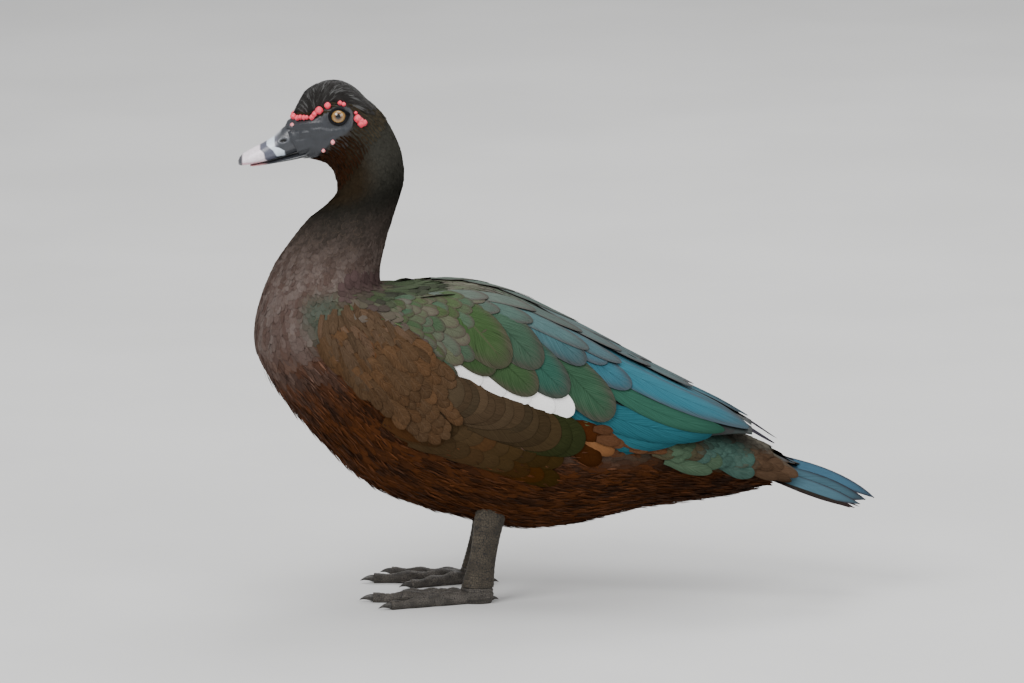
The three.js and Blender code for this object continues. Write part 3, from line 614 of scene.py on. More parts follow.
class Wire:
    """A value inside a material. Sums and products of wires add the nodes that work them out."""

    def __init__(self, shader, socket):
        self.shader, self.socket = shader, socket

    def math(self, operation, *others, swap=False):
        """The wire of a Math node that works on this wire and the others, swapped if asked."""
        values = [self, *others]
        if swap:
            values = values[::-1]
        return self.shader.node("Math", *values, operation=operation)

    def __add__(self, other):
        return self.math("ADD", other)

    def __sub__(self, other):
        return self.math("SUBTRACT", other)

    def __mul__(self, other):
        return self.math("MULTIPLY", other)

    def __pow__(self, other):
        return self.math("POWER", other)

    def __rsub__(self, other):
        return self.math("SUBTRACT", other, swap=True)

    __radd__ = __add__

    def sin(self):
        """Sine of the wire, in radians."""
        return self.math("SINE")

    def size(self):
        """The wire without its sign."""
        return self.math("ABSOLUTE")

    def step(self, low, high):
        """0 below low and 1 above high, with a soft step between."""
        return self.shader.node("MapRange", self, low, high, interpolation_type="SMOOTHSTEP")


class Shader:
    """A material made of a few named wires."""

    def __init__(self, name):
        self.material = bpy.data.materials.new(name)
        self.material.use_nodes = True
        self.tree = self.material.node_tree
        self.surface = self.tree.nodes["Principled BSDF"]

    def node(self, kind, *inputs, output=0, **settings):
        """A node with its inputs in order, or by name in a dict, and its settings."""
        made = self.tree.nodes.new("ShaderNode" + kind)
        named = settings.pop("named", {})
        for key, value in settings.items():
            setattr(made, key, value)
        for key, value in [*enumerate(inputs), *named.items()]:
            self.plug(made.inputs[key], value)
        return Wire(self, made.outputs[output])

    def plug(self, socket, value):
        """Links a wire to an input, or sets the input to a number or colour."""
        if isinstance(value, Wire):
            self.tree.links.new(value.socket, socket)
        elif isinstance(value, tuple) and len(value) == 3 and socket.type == "RGBA":
            socket.default_value = (*value, 1)
        else:
            socket.default_value = value

    def place(self):
        """Place on the object, in metres."""
        return self.node("TexCoord", output="Object")

    def attribute(self, name):
        """Colour that the mesh carries under this name."""
        return self.node("Attribute", attribute_name=name, output="Color")

    def parts(self, wire):
        """The three parts of a colour or vector."""
        made = self.tree.nodes.new("ShaderNodeSeparateXYZ")
        self.plug(made.inputs[0], wire)
        return [Wire(self, made.outputs[k]) for k in range(3)]

    def vector(self, x, y, z=0.0):
        """A vector, or a colour, from its three parts."""
        return self.node("CombineXYZ", x, y, z)

    def noise(self, vector, scale, detail):
        """Soft random clouds from 0 to 1."""
        return self.node("TexNoise", named={"Vector": vector, "Scale": scale, "Detail": detail})

    def cells(self, vector, scale, feature="F1"):
        """Distance from the middles of random cells, or from their edges."""
        return self.node("TexVoronoi", named={"Vector": vector, "Scale": scale}, feature=feature)

    def mix(self, share, first, second, blend="MIX"):
        """The first colour, with a share of the second mixed or multiplied in."""
        made = self.tree.nodes.new("ShaderNodeMix")
        made.data_type = "RGBA"
        made.blend_type = blend
        for key, value in ((0, share), (6, first), (7, second)):
            self.plug(made.inputs[key], value)
        return Wire(self, made.outputs[2])

    def times(self, colour, other):
        """A colour multiplied by another one, or by one number."""
        if isinstance(other, Wire) and other.socket.type == "VALUE":
            other = self.vector(other, other, other)
        return self.mix(1.0, colour, other, "MULTIPLY")

    def bump(self, height, distance, strength):
        """Normals of a fine relief, with its depth in metres."""
        return self.node("Bump", named={"Height": height, "Distance": distance, "Strength": strength},
                         output="Normal")

    def finish(self, **inputs):
        """The material, with the named inputs of its surface set or linked."""
        for key, value in inputs.items():
            self.plug(self.surface.inputs[key.replace("_", " ")], value)
        return self.material


BARB_DEPTH = 0.12 * MM


def feather_material(name, gloss, rough, shaft, edge, streak=0.35, cracks=0.0, shine=0.0, dull=0.0,
                     line=1.0, vary=0.3, stem=0.0):
    """Vane with a shaft, slanting barbs and a rim of the feather's second colour.

    gloss, rough and shine set how it reflects, shaft and a feather's own mark how pale the shaft is, edge
    how narrow the rim is and line how dark, streak and cracks how strong the streaks and the dark splits
    between barbs are, dull how much of the rim's colour reaches into the vane, vary how much feathers
    differ, and stem how dark the line along the shaft is."""
    shader = Shader(name)
    lot, mark, scale = shader.parts(shader.attribute("Lot"))
    across, out, _ = shader.parts(shader.node("UVMap", uv_map="Feather"))
    off = (across * 2 - 1).size()
    frond = out * 9 - off * 3.4 + lot * 7
    grain = shader.noise(shader.vector(frond * 3, off * 1.2, lot * 31), 1.6, 2.0)
    fine = (frond * 26 * (scale + 0.25) + grain * 5).sin()
    rim = (off ** edge + out ** (edge * 3) + (grain - 0.5) * (1.2 / edge)).step(0.6, 1.0)
    wide = (off ** 3 + out ** 4 + (grain - 0.5) * 0.9).step(0.2, 1.2) * dull
    quill = (1 - off.step(0.015, 0.07)) * (1 - out.step(0.75, 0.97)) * (mark + shaft)
    colour = shader.mix(wide, shader.attribute("Base"), shader.attribute("Rim"))
    colour = shader.mix(rim, colour, shader.times(shader.attribute("Rim"), (line, line, line)))
    shade = 1 + (grain - 0.5) * streak * 2 + (lot - 0.5) * vary + fine * 0.05
    if stem:
        shade = shade * (1 - (1 - off.step(0.01, 0.06)) * (1 - out.step(0.8, 0.98)) * stem)
    if cracks:
        lines = 1 - (frond * 2.3 + lot * 3 + grain).sin().size().step(0.0, 0.08)
        shade = shade * (1 - lines * (grain + off * 0.3).step(0.5, 0.65) * cracks)
    colour = shader.mix(quill, shader.times(colour, shade), (0.2, 0.15, 0.11))
    relief = fine * 0.5 + grain * 1.4 + quill * 4
    return shader.finish(
        Base_Color=colour, Roughness=(grain - 0.5) * 0.25 + rough, Metallic=gloss,
        Normal=shader.bump(relief, BARB_DEPTH, 0.7), Specular_IOR_Level=shine)


def skin_material():
    """Skin under the coat and bare grey face, with pebbles and fine wrinkles."""
    shader = Shader("skin")
    place = shader.place()
    pebble = shader.cells(place, 900.0)
    broad = shader.noise(place, 160.0, 4.0)
    colour = shader.times(shader.attribute("Tint"), broad * 0.7 + 0.65)
    return shader.finish(
        Base_Color=colour, Roughness=broad * 0.25 + 0.25, Specular_IOR_Level=0.4,
        Normal=shader.bump(pebble * 0.3 + broad * 1.2, 0.0004, 0.6))


def caruncle_material():
    """Wet red wattle skin with small pale grains."""
    shader = Shader("caruncle")
    place = shader.place()
    grain = shader.cells(place, 1500.0)
    patch = shader.noise(place, 500.0, 3.0)
    red = shader.mix(patch.step(0.35, 0.7), (0.85, 0.03, 0.07), (0.95, 0.09, 0.15))
    colour = shader.mix(grain.step(0.42, 0.7) * 0.15, red, (0.85, 0.25, 0.25))
    colour = shader.times(colour, shader.attribute("Tint"))
    return shader.finish(
        Base_Color=colour, Roughness=patch * 0.2 + 0.3, Coat_Weight=0.2,
        Coat_Roughness=0.12, Subsurface_Weight=0.12, Subsurface_Scale=0.002,
        Normal=shader.bump(grain + patch * 0.6, 0.0003, 0.7))


def bill_material():
    """Smooth horn whose bands are carried by the Tint colours."""
    shader = Shader("bill_horn")
    place = shader.place()
    cloud = shader.noise(place, 420.0, 5.0)
    stretched = shader.node("VectorMath", place, (0.25, 1.0, 1.0), operation="MULTIPLY")
    line = shader.noise(stretched, 1400.0, 2.0)
    colour = shader.times(shader.attribute("Tint"), cloud * 0.5 + line * 0.2 + 0.65)
    return shader.finish(
        Base_Color=colour, Roughness=cloud * 0.25 + 0.22, Coat_Weight=0.25,
        Coat_Roughness=0.2, Normal=shader.bump(cloud * 0.8 + line * 0.4, 0.0003, 0.5))


def eye_material():
    """Amber iris with a black pupil under a clear wet layer."""
    shader = Shader("eye")
    turn, ring, _ = shader.parts(shader.node("UVMap", uv_map="Iris"))
    streak = shader.noise(shader.vector(turn * 60, ring * 2.5), 1.0, 3.0)
    inner = shader.mix(ring.step(0.3, 0.6), (0.13, 0.05, 0.012), (0.34, 0.19, 0.06))
    iris = shader.times(inner, streak * 0.7 + 0.62)
    colour = shader.mix(ring.step(0.27, 0.31), (0.002, 0.002, 0.002), iris)
    colour = shader.mix(ring.step(0.86, 0.98), colour, (0.01, 0.008, 0.007))
    return shader.finish(
        Base_Color=colour, Roughness=0.12, Coat_Weight=1.0, Coat_Roughness=0.02)


def leg_material(name, scale, colour_low, colour_high):
    """Horny skin: raised scales with paler middles, and creases darkened with painted shade."""
    shader = Shader(name)
    place = shader.place()
    bend = shader.noise(place, 60.0, 2.0)
    cells = shader.cells(place, scale, "DISTANCE_TO_EDGE")
    crease = cells.step(0.0, 0.12)
    broad = shader.noise(place, 90.0, 4.0)
    colour = shader.mix(broad.step(0.3, 0.7), colour_low, colour_high)
    # Painted shade: the creases between the scales are made near black.
    colour = shader.mix(crease, (0.018, 0.017, 0.017), colour)
    colour = shader.times(colour, shader.attribute("Tint"))
    return shader.finish(
        Base_Color=colour, Roughness=broad * 0.25 + 0.45, Specular_IOR_Level=0.25,
        Normal=shader.bump(crease * 0.8 + broad * 0.5 + bend * 0.2, 0.0005, 0.8))


def plain_material(name, colour, other, scale, rough, depth, shine=0.5):
    """Two close colours mixed by noise, with a fine bump."""
    shader = Shader(name)
    cloud = shader.noise(shader.place(), scale, 4.0)
    return shader.finish(
        Base_Color=shader.mix(cloud.step(0.3, 0.7), colour, other),
        Roughness=cloud * 0.2 + rough, Normal=shader.bump(cloud, depth, 0.5),
        Specular_IOR_Level=shine)


# Colours of the plumage, as linear light

BLACK, SOFT_BLACK = (0.006, 0.005, 0.004), (0.014, 0.012, 0.010)

BLACK_BROWN = np.array([0.010, 0.0075, 0.0055])
NECK_BLACK = np.array([0.015, 0.0145, 0.012])
DARK_BROWN = np.array([0.036, 0.018, 0.0085])
GREY_BROWN = np.array([0.1, 0.072, 0.052])
PURPLE_BROWN = np.array([0.085, 0.056, 0.053])
RUSTY = np.array([0.17, 0.058, 0.015])
TAN = np.array([0.3, 0.17, 0.085])
OLIVE_BROWN = np.array([0.05, 0.033, 0.018])
OLIVE_GREEN = np.array([0.032, 0.058, 0.026])
GREEN = np.array([0.014, 0.075, 0.032])
GREY_GREEN = np.array([0.055, 0.085, 0.06])
TEAL = np.array([0.01, 0.07, 0.08])
SLATE_BLUE = np.array([0.03, 0.085, 0.125])
PURPLE_RIM = np.array([0.022, 0.012, 0.014])
WHITE = np.array([0.86, 0.85, 0.83])
WING_GREEN = np.array([0.034, 0.062, 0.024])
WING_TEAL = np.array([0.026, 0.088, 0.072])
WING_BLUE = np.array([0.026, 0.112, 0.15])
# Grey laid over feathers by a share: painted sheen, where light glances off their upper faces.
WING_SHEEN_GREY = np.array([0.12, 0.105, 0.095])
FACE_GREY = np.array([0.036, 0.039, 0.045])


def blend(first, second, share):
    """Colours between two, by one share per row."""
    share = np.asarray(share)[..., None]
    return first * (1 - share) + second * share


def layered(base, *layers):
    """A colour with others laid over it in order, each by its own share per row."""
    for colour, share in layers:
        base = blend(base, np.asarray(colour), share)
    return base


# Body coat

# Columns of small feathers round the body and the head.
BODY_COLUMNS, HEAD_COLUMNS = 92, 72
# Thickness of a small feather at its root.
THIN = 0.15 * MM


def streamline_roots(columns, start, end, pace, rng, least=1.2 * MM):
    """Roots in columns from the head back, each as far on as a share of the columns' spacing.

    pace gives that share for a place, and no step is shorter than least. Neighbouring columns start
    half a step apart, so that the feathers lie like shingles."""
    angles = -math.pi + (np.arange(columns) + 0.5) * TURN / columns
    place = np.full(columns, float(start))
    places, turns = [], []
    while (place < end).any():
        along_a, along_b, _ = BODY_SURFACE.tangents(place, angles)
        gap = np.linalg.norm(along_b, axis=-1) * TURN / columns
        step = np.maximum(gap * pace(place), least) / np.linalg.norm(along_a, axis=-1)
        if not places:
            place = place + step * 0.5 * (np.arange(columns) % 2)
        alive = place < end
        places.append(place[alive])
        turns.append(angles[alive])
        place = place + step
    places, turns = np.concatenate(places), np.concatenate(turns)
    turns = turns + rng.normal(0, 0.12, len(turns)) * TURN / columns
    places = places + rng.normal(0, 0.02, len(places))
    return places, turns


def body_vanes(place, angle, length, half, base, rim, rng, *, lift, rise, swing=0.0, wild=0.25, **more):
    """Feathers that lie back along the body from these roots, turned by swing and as uneven as wild says."""
    n = len(place)
    tips = BODY_SURFACE.onward(place, angle, rng.normal(0, 0.3 * wild, n) + swing, length)
    lift = lift + rng.normal(0, 0.12 * MM, n)
    rise = rise * (1 + wild * rng.normal(0, 1, n))
    return Vanes(BODY_SURFACE, place, angle, *tips, half, base, rim, lift=lift, rise=rise,
                 roll=rng.normal(0, 0.25 * MM, n), **more)


def body_colours(place, angle, rng):
    """Middle and rim colours of the body's feathers by their place, with the bird's own mottling and painted
    light on the nape.
    """
    n = len(place)
    point = body_point(place, angle)
    back = np.cos(angle)
    luck = 0.85 * mottle(point, 0.016, 3) + 0.15 * rng.random(n)
    bars = 0.5 * np.sin(point[:, 2] * TURN / (6 * MM) + 7 * mottle(point, 0.03, 5))
    luck = np.clip(luck + 0.6 * bars * between(place, 8.5, 10, 13, 15), 0, 1)
    patch = mottle(point, 0.02, 4)
    # Painted light: the nape, the upper side of the neck near the head, is made lighter.
    nape = 1.5 * (1 - smooth(place, 6.8, 9)) * smooth(back, -0.3, 0.4)
    throat = (1 - smooth(place, 7.5, 9.5)) * smooth(-back, -0.5, 0.3)
    neck = NECK_BLACK * (1 + np.outer(nape, [1, 1, 1]) + np.outer(throat, [0.5, 0.1, -0.2]))
    neck = blend(neck, PURPLE_BROWN * [0.95, 1.1, 1.0], smooth(place, 8.8, 12.0) * (0.55 + 0.45 * luck))
    breast = blend(PURPLE_BROWN * [0.95, 0.95, 0.85], PURPLE_BROWN * [1.5, 1.8, 1.7], luck)
    belly = blend(DARK_BROWN * [0.7, 0.7, 0.9], RUSTY * [0.4, 0.42, 0.6], luck)
    flank = blend(OLIVE_BROWN * 0.6, OLIVE_BROWN * 1.0, luck)
    mantle = blend(OLIVE_BROWN * 1.2, OLIVE_GREEN * 1.4, 0.3 + 0.7 * luck)
    rump = blend(GREY_BROWN * 0.6, GREY_GREEN, luck)
    low = smooth(-back, -0.35, 0.25)
    green = between(place, 12.4, 13.6, 15.2, 16.4) * between(-back, -0.45, -0.1, 0.1, 0.4)
    rust = smooth(0.75 * patch + 0.5 * rng.random(n), 0.45, 0.95) * smooth(place, 14, 18)
    rust = rust * (1 - 0.9 * smooth(back, 0.0, 0.4)) * (1 - 0.85 * smooth(place, 23, 26))
    base = layered(
        neck, (breast, smooth(place, 10.5, 13)), (belly, smooth(place, 14.5, 18.0) * low),
        (flank, smooth(place, 17, 19) * (1 - low) * 0.8), (OLIVE_GREEN * [0.85, 1.05, 1.6], 0.6 * green),
        (mantle, smooth(place, 12.3, 13.6) * smooth(back, 0.1, 0.5)),
        (blend(rump, belly * 0.6, smooth(-back, -0.3, 0.1)), smooth(place, 22.5, 24.5)),
        (RUSTY * [0.45, 0.45, 0.6], 0.7 * rust))
    pale = (rng.random(n) > 0.6) * between(place, 8.5, 11, 14, 16.5) * (back < 0.5)
    rim = blend(base * 0.92, GREY_BROWN * 1.5, pale * 0.3)
    rim = blend(rim, RUSTY * 0.65, 0.35 * rust * (rng.random(n) > 0.4))
    return base, rim


def in_wing(place, angle, margin=0.006):
    """How far under the wing a place on the body lies, from 0 outside to 1 well inside."""
    point = body_point(place, angle)
    x, y, z = point[..., 0], np.abs(point[..., 1]), point[..., 2]
    row = row_at(WING, x)
    low, edge = along(WING, 2, row), along(WING, 4, row)
    inside = smooth(x, -0.135, -0.115) * smooth(z, low + margin, low + margin + 0.012)
    return inside * smooth(y, edge + 0.004, edge + 0.016) * (1 - smooth(x, 0.185, 0.2))


# Pieces of the small coat: name, first and last place, and how uneven its feathers lie.
COAT_ZONES = [
    ("neck_feathers", 0, 12.2, 0.15), ("breast_feathers", 12.2, 16, 0.25), ("body_feathers", 16, 21, 0.25),
    ("rump_feathers", 21, 40, 0.25),
]


def neck_and_body_batches(rng):
    """All small feathers of the neck, breast, back, belly, flanks, rump and tail root."""
    batches = {}
    place, angle = streamline_roots(
        BODY_COLUMNS, HEAD_END - 0.9, 27.0,
        lambda p: 0.8 + 0.1 * smooth(p, 12, 16), rng, least=0.0018)
    point = body_point(place, angle)
    # Under the wings and under the middle rows of the back no small feather is seen.
    hidden = in_wing(place, angle) > 0.5
    hidden |= (np.abs(point[:, 0] + 0.036) < 0.096) & (np.cos(angle) > 0.75)
    place, angle = place[~hidden], angle[~hidden]
    along_b = BODY_SURFACE.tangents(place, angle)[1]
    gap = np.maximum(np.linalg.norm(along_b, axis=-1) * TURN / BODY_COLUMNS, 2.1 * MM)
    half = gap * (0.8 - 0.15 * smooth(place, 15, 19)) * rng.uniform(0.85, 1.15, len(place))
    length = gap * (2.5 + 1.1 * smooth(place, 16, 24)) * rng.uniform(0.85, 1.2, len(place))
    base, rim = body_colours(place, angle, rng)
    for name, low, high, wild in COAT_ZONES:
        k = (place >= low) & (place < high)
        batches[name] = [body_vanes(
            place[k], angle[k], length[k], half[k], base[k], rim[k], rng, wild=wild, lift=-0.8 * MM,
            rise=0.4 * MM + 0.03 * half[k], rows=5, columns=4, thickness=THIN,
            shape=(0.6, 0.5, 2.2))]
    return batches


WISPS = 6000


def wisp_batch(rng):
    """Thin loose barbs over the breast, belly and flanks, which soften the feathers' outlines."""
    place = rng.uniform(15.5, 26.5, WISPS * 3)
    angle = rng.uniform(-math.pi, math.pi, WISPS * 3)
    low = np.abs(angle) > 0.9 + 0.25 * smooth(place, 17, 19)
    worth = smooth(place, 15.5, 18) * low * (in_wing(place, angle) < 0.4)
    worth = worth * np.where(place > 22.5, smooth(np.abs(angle), 1.6, 1.8), 1)
    keep = np.flatnonzero(rng.random(len(place)) < worth)[:WISPS]
    place, angle = place[keep], angle[keep]
    n = len(place)
    base, _ = body_colours(place, angle, rng)
    base = base * rng.uniform(0.7, 1.7, n)[:, None]
    return body_vanes(place, angle, rng.uniform(0.008, 0.015, n), rng.uniform(0.0005, 0.0009, n), base, base,
                      rng, lift=0.0, rise=0.0012, wild=0.6, rows=4, columns=3, thickness=0.0002,
                      shape=(0.6, 0.4, 1.2))


# Columns of the mantle's feathers round the body, rows of the back's from behind, and their spacing.
MANTLE_COLUMNS, BACK_ROWS, BACK_GAP = 60, np.arange(62, -150, -8.0) * MM, 8.5 * MM
# Rows, columns, thickness and outline of the broad round feathers of the mantle and shoulders.
ROUND_VANE = {"rows": 8, "columns": 7, "thickness": THIN, "shape": (0.7, 0.5, 2.6)}


def mantle_batches(rng):
    """Short scale-like feathers of the lower neck's back, the shoulders and the back."""
    place, angle = streamline_roots(MANTLE_COLUMNS, 12.2, 17.6, lambda p: 1.0, rng)
    keep = (np.abs(angle) < 1.15 + rng.normal(0, 0.1, len(place))) & (in_wing(place, angle) < 0.8)
    keep &= body_point(place, angle)[:, 0] < -0.125
    place, angle = place[keep], angle[keep]
    gap = np.linalg.norm(BODY_SURFACE.tangents(place, angle)[1], axis=-1) * TURN / MANTLE_COLUMNS
    luck = rng.random(len(place))
    # The mantle's feathers carry a share of painted grey sheen.
    base = layered(
        NECK_BLACK * 1.5, (WING_GREEN, luck), (WING_SHEEN_GREY * 0.5, 0.4 * luck * smooth(place, 13, 15)),
        (PURPLE_BROWN, smooth(np.abs(angle), 0.7, 1.1) * 0.6))
    base = blend(PURPLE_BROWN * 0.65, base, smooth(place, 12.4, 14))
    front = body_vanes(place, angle, gap * 2.4, gap * 0.8, base * 1.2, base, rng, lift=-0.0002,
                       rise=0.0006 + 0.0012 * smooth(place, 13, 15), wild=0.2, **ROUND_VANE)
    rows = []
    for k, x in enumerate(BACK_ROWS):
        edge = along(WING, 4, row_at(WING, x))
        count = max(3, int(round(edge * 2 / BACK_GAP)))
        share = (np.arange(count) + 0.5 * (k % 2) + 0.25) / count * 2 - 1
        rows += [(x, value) for value in share]
    x, share = np.array(rows).T
    n = len(x)
    luck = rng.random(n)
    start = x + rng.normal(0, 0.0015, n)
    # Painted sheen on the back's upward faces: a share of grey here, and the colours lifted by about a third
    # below.
    base = blend(blend(WING_GREEN, WING_TEAL, smooth(start, -0.09, 0.0)), WING_SHEEN_GREY, 0.3 + 0.35 * luck)
    share = share + rng.normal(0, 0.03, n)
    back = Vanes(BACK_SURFACE, start, share, start + rng.uniform(0.019, 0.023, n), share * 0.98,
                 rng.uniform(0.0062, 0.0078, n), base * [1.3, 1.25, 1.3], PURPLE_BROWN * 0.8,
                 lift=0.0008, rise=0.0006, roll=rng.normal(0, 0.0002, n), **ROUND_VANE)
    return [front, back]


# Upper edge of the feathers behind the shoulder: places, and the angle at each.
SHOULDER_EDGE = ([15.6, 17.2, 18.6, 18.9, 19.4], [1.3, 1.14, 1.16, 1.4, 1.5])


def shoulder_batch(rng):
    """Loose brown and rusty feathers that hang over each wing's front edge, and those behind them."""
    batches = []
    for side in SIDES.values():
        place, angle = streamline_roots(72, 14.3, 17.6, lambda p: 1.3, rng)
        turn = angle * side
        keep = (turn > 0.93 + 0.05 * (place - 14.3)) & (turn < 1.58 + 0.04 * (place - 14.3))
        place, angle = place[keep], angle[keep]
        n = len(place)
        luck = mottle(body_point(place, angle), 0.02, 9) * 0.6 + 0.4 * rng.random(n)
        base = blend(OLIVE_BROWN * [1.1, 1.1, 1.2], np.array([0.09, 0.056, 0.036]),
                     0.2 + 0.6 * smooth(luck, 0.2, 0.9))
        batches.append(body_vanes(
            place, angle, rng.uniform(0.026, 0.038, n), rng.uniform(0.0045, 0.0065, n), base,
            blend(base * 0.85, RUSTY * 0.55, 0.7 * smooth(luck, 0.6, 0.9)), rng, thickness=THIN,
            lift=0.0002 + 0.0028 * smooth(place, 14.8, 17), rise=0.0014, swing=side * 0.5, rows=9,
            columns=7, shape=(0.5, 0.55, 2.2)))
        place, angle = streamline_roots(80, 15.6, 19.4, lambda p: 1.2, rng)
        turn = angle * side
        keep = (turn < 1.82) & (turn > np.interp(place, *SHOULDER_EDGE))
        place, angle = place[keep], angle[keep]
        n = len(place)
        luck = mottle(body_point(place, angle), 0.02, 9) * 0.6 + 0.4 * rng.random(n)
        base = blend(OLIVE_BROWN * [1.1, 1.05, 1.1], np.array([0.09, 0.047, 0.023]),
                     0.2 + 0.5 * smooth(luck, 0.3, 0.9))
        batches.append(body_vanes(
            place, angle, rng.uniform(0.019, 0.025, n), rng.uniform(0.0055, 0.0075, n), base, base * 0.85,
            rng, lift=0.0012 + 0.0036 * smooth(place, 15.8, 18), rise=0.0008, swing=side * 0.25, wild=0.3,
            **ROUND_VANE))
    return batches


# Flank feathers: place and angle of the first root, of the last root, of the first tip and of the
# last tip, how many, half width (mm) and lift (mm). Each run goes forward, the last one on top.
FLANK_RUNS = [
    (21.22, 1.79, 18.46, 1.92, 22.26, 1.82, 19.44, 1.78, 10, 13, 0.6),
    (21.2, 1.6, 17.6, 1.75, 22.2, 1.62, 18.7, 1.62, 13, 15, 1.0),
    (21.0, 1.38, 19.9, 1.44, 22.5, 1.36, 21.4, 1.35, 5, 22, 2.2),
    (19.66, 1.38, 18.2, 1.5, 21.2, 1.3, 19.5, 1.34, 9, 20, 3.4),
    (18.2, 1.6, 17.4, 1.6, 19.3, 1.5, 18.4, 1.5, 5, 12, 3.0),
    (18.6, 1.75, 17.2, 1.78, 19.6, 1.7, 18.2, 1.7, 7, 11, 2.0),
]
# Feathers behind the runs: place and angle of root and tip, and half width (mm).
FLANK_ENDS = [(21.9, 1.24, 22.9, 1.25, 10), (22.22, 1.27, 23.25, 1.45, 9), (22.18, 1.38, 23.0, 1.59, 10)]
# The run whose first two feathers are dark green, and their colours.
GREEN_RUN, GREEN_FLANK = 2, [[0.018, 0.021, 0.008], [0.023, 0.026, 0.01]]


def flank_batch(rng):
    """Broad olive-brown feathers with thin dark rims, in two humps over the wing's lower edge."""
    batches = []
    for side in SIDES.values():
        ends = np.array(FLANK_ENDS)
        colours = np.array([RUSTY * [0.26, 0.24, 0.28], TAN * [0.5, 0.4, 0.33], RUSTY * [0.2, 0.2, 0.22]])
        batches.append(Vanes(
            BODY_SURFACE, ends[:, 0], side * ends[:, 1], ends[:, 2], side * ends[:, 3], ends[:, 4] * MM,
            colours, colours * 0.4, lift=0.0008, rise=0.0015, camber=0.04, rows=11, columns=7,
            shape=(0.6, 0.6, 2.2)))
        for k, (*corners, count, half, lift) in enumerate(FLANK_RUNS):
            share = np.linspace(0, 1, count)[:, None]
            first, last = np.array(corners[0:2] + corners[4:6]), np.array(corners[2:4] + corners[6:8])
            a, b, a_tip, b_tip = (first + (last - first) * share + rng.normal(0, 0.012, (count, 4))).T
            luck = 0.6 * mottle(body_point(a_tip, side * b_tip), 0.03, 12) + 0.4 * rng.random(count)
            base = blend(OLIVE_BROWN * [1.1, 1.2, 1.5], OLIVE_BROWN * [1.4, 1.5, 1.9], luck)
            rusty = smooth(luck, 0.45, 0.8) * (0.1 if half > 18 else 0.6)
            base = blend(base, RUSTY * [0.45, 0.45, 0.5], rusty)
            base = base * (np.array([0.8, 0.8, 0.7]) - np.outer(smooth(a_tip, 20.4, 22.3), [0.3, 0.3, 0.35])
                           - np.outer(smooth(b_tip, 1.45, 1.65), [0.0, 0.1, 0.2]))
            if k == GREEN_RUN:
                base[:2] = GREEN_FLANK
            batches.append(Vanes(
                BODY_SURFACE, a, side * b, a_tip, side * b_tip, half * MM * rng.uniform(0.95, 1.05, count),
                base, base * 0.85, lift=(lift + 0.9 * share[:, 0]) * MM, rise=0.0008, camber=0.04,
                rows=13, columns=9, shape=(0.8, 0.4, 2.8)))
    return batches


def head_batch(rng):
    """Short dark feathers of the cheeks, throat and nape, with painted light on the head's upper side."""
    place, angle = streamline_roots(
        HEAD_COLUMNS, 1.2, HEAD_END + 0.2, lambda p: 0.7, rng, least=1.3 * MM)
    keep = bare_share(place, angle, rng.normal(0, 0.0008, len(place))) < 0.5
    place, angle = place[keep], angle[keep]
    n = len(place)
    length = rng.uniform(0.0045, 0.0075, n)
    half = rng.uniform(0.0006, 0.0011, n)
    luck = rng.random(n)
    back = np.cos(angle)
    # Painted light: the feathers on the head's upper side are made lighter than those below.
    dark = blend(BLACK_BROWN * [1.7, 1.3, 0.9], BLACK_BROWN * [4.4, 4.8, 4.2], smooth(back, 0.0, 0.6))
    base = blend(dark, DARK_BROWN * [0.8, 0.52, 0.35], smooth(-back, -0.5, 0.6) * (0.5 + 0.5 * luck))
    return body_vanes(place, angle, length, half, base, base * 0.8, rng, lift=-0.0006, rise=0.001,
                      wild=0.2, rows=4, columns=3, thickness=0.0002)


# Lower and upper edge of the bare face on the left side: x and z.
FACE_LOW = np.array([
    [-262, 414], [-242, 416], [-236.5, 418.9], [-226.8, 421.6], [-221.8, 427.5], [-214.3, 435.8],
    [-207.2, 442.7], [-198.7, 446.8], [-192.8, 453.3], [-191, 461.4],
]) * MM
FACE_HIGH = np.array([
    [-262, 480], [-250, 470], [-247.5, 459], [-245.9, 457.5], [-233.6, 458.5], [-227.5, 460.6],
    [-221.6, 465.6], [-215.5, 469.8], [-210.7, 471.9], [-204.6, 473.2], [-197.6, 473], [-192.8, 467.2],
    [-191, 461.4],
]) * MM


def bare_share(place, angle, shift=0.0):
    """1 on the bare face, from the bill's base to behind the eye, and 0 under the feathers."""
    point = body_point(place, angle)
    x, z = point[..., 0] + shift, point[..., 2] + shift
    inside = past(z, x, FACE_LOW, 1.2 * MM) * (1 - past(z, x, FACE_HIGH, 1.2 * MM))
    ahead = 1 - smooth(x, -0.192, -0.19)
    front = 1 - smooth(place, 0.7, 0.9)
    return np.maximum(inside * ahead, front)


# Operators

class DuckSettings(bpy.types.PropertyGroup):
    """Sizes and seeds that the pieces are made with."""
    coat_depth: bpy.props.FloatProperty(
        name="Coat depth", description="How far the skin lies under the feathers",
        default=0.0032, subtype="DISTANCE", unit="LENGTH")
    seed: bpy.props.IntProperty(
        name="Seed", description="Start of the drawn differences among feathers", default=7)
    floor_size: bpy.props.FloatProperty(
        name="Floor size", description="Width of the studio floor",
        default=60.0, subtype="DISTANCE", unit="LENGTH")


class DuckOperator:
    """What every step of the duck shares."""
    bl_options = {"REGISTER", "UNDO"}

    def execute(self, context):
        """Makes the step's pieces with the scene's settings."""
        self.make(context.scene.duck)
        return {"FINISHED"}


# Rings of the skin over the head and behind it, and points in each ring.
HEAD_RINGS, BODY_RINGS, SKIN_COLUMNS = 150, 130, 160


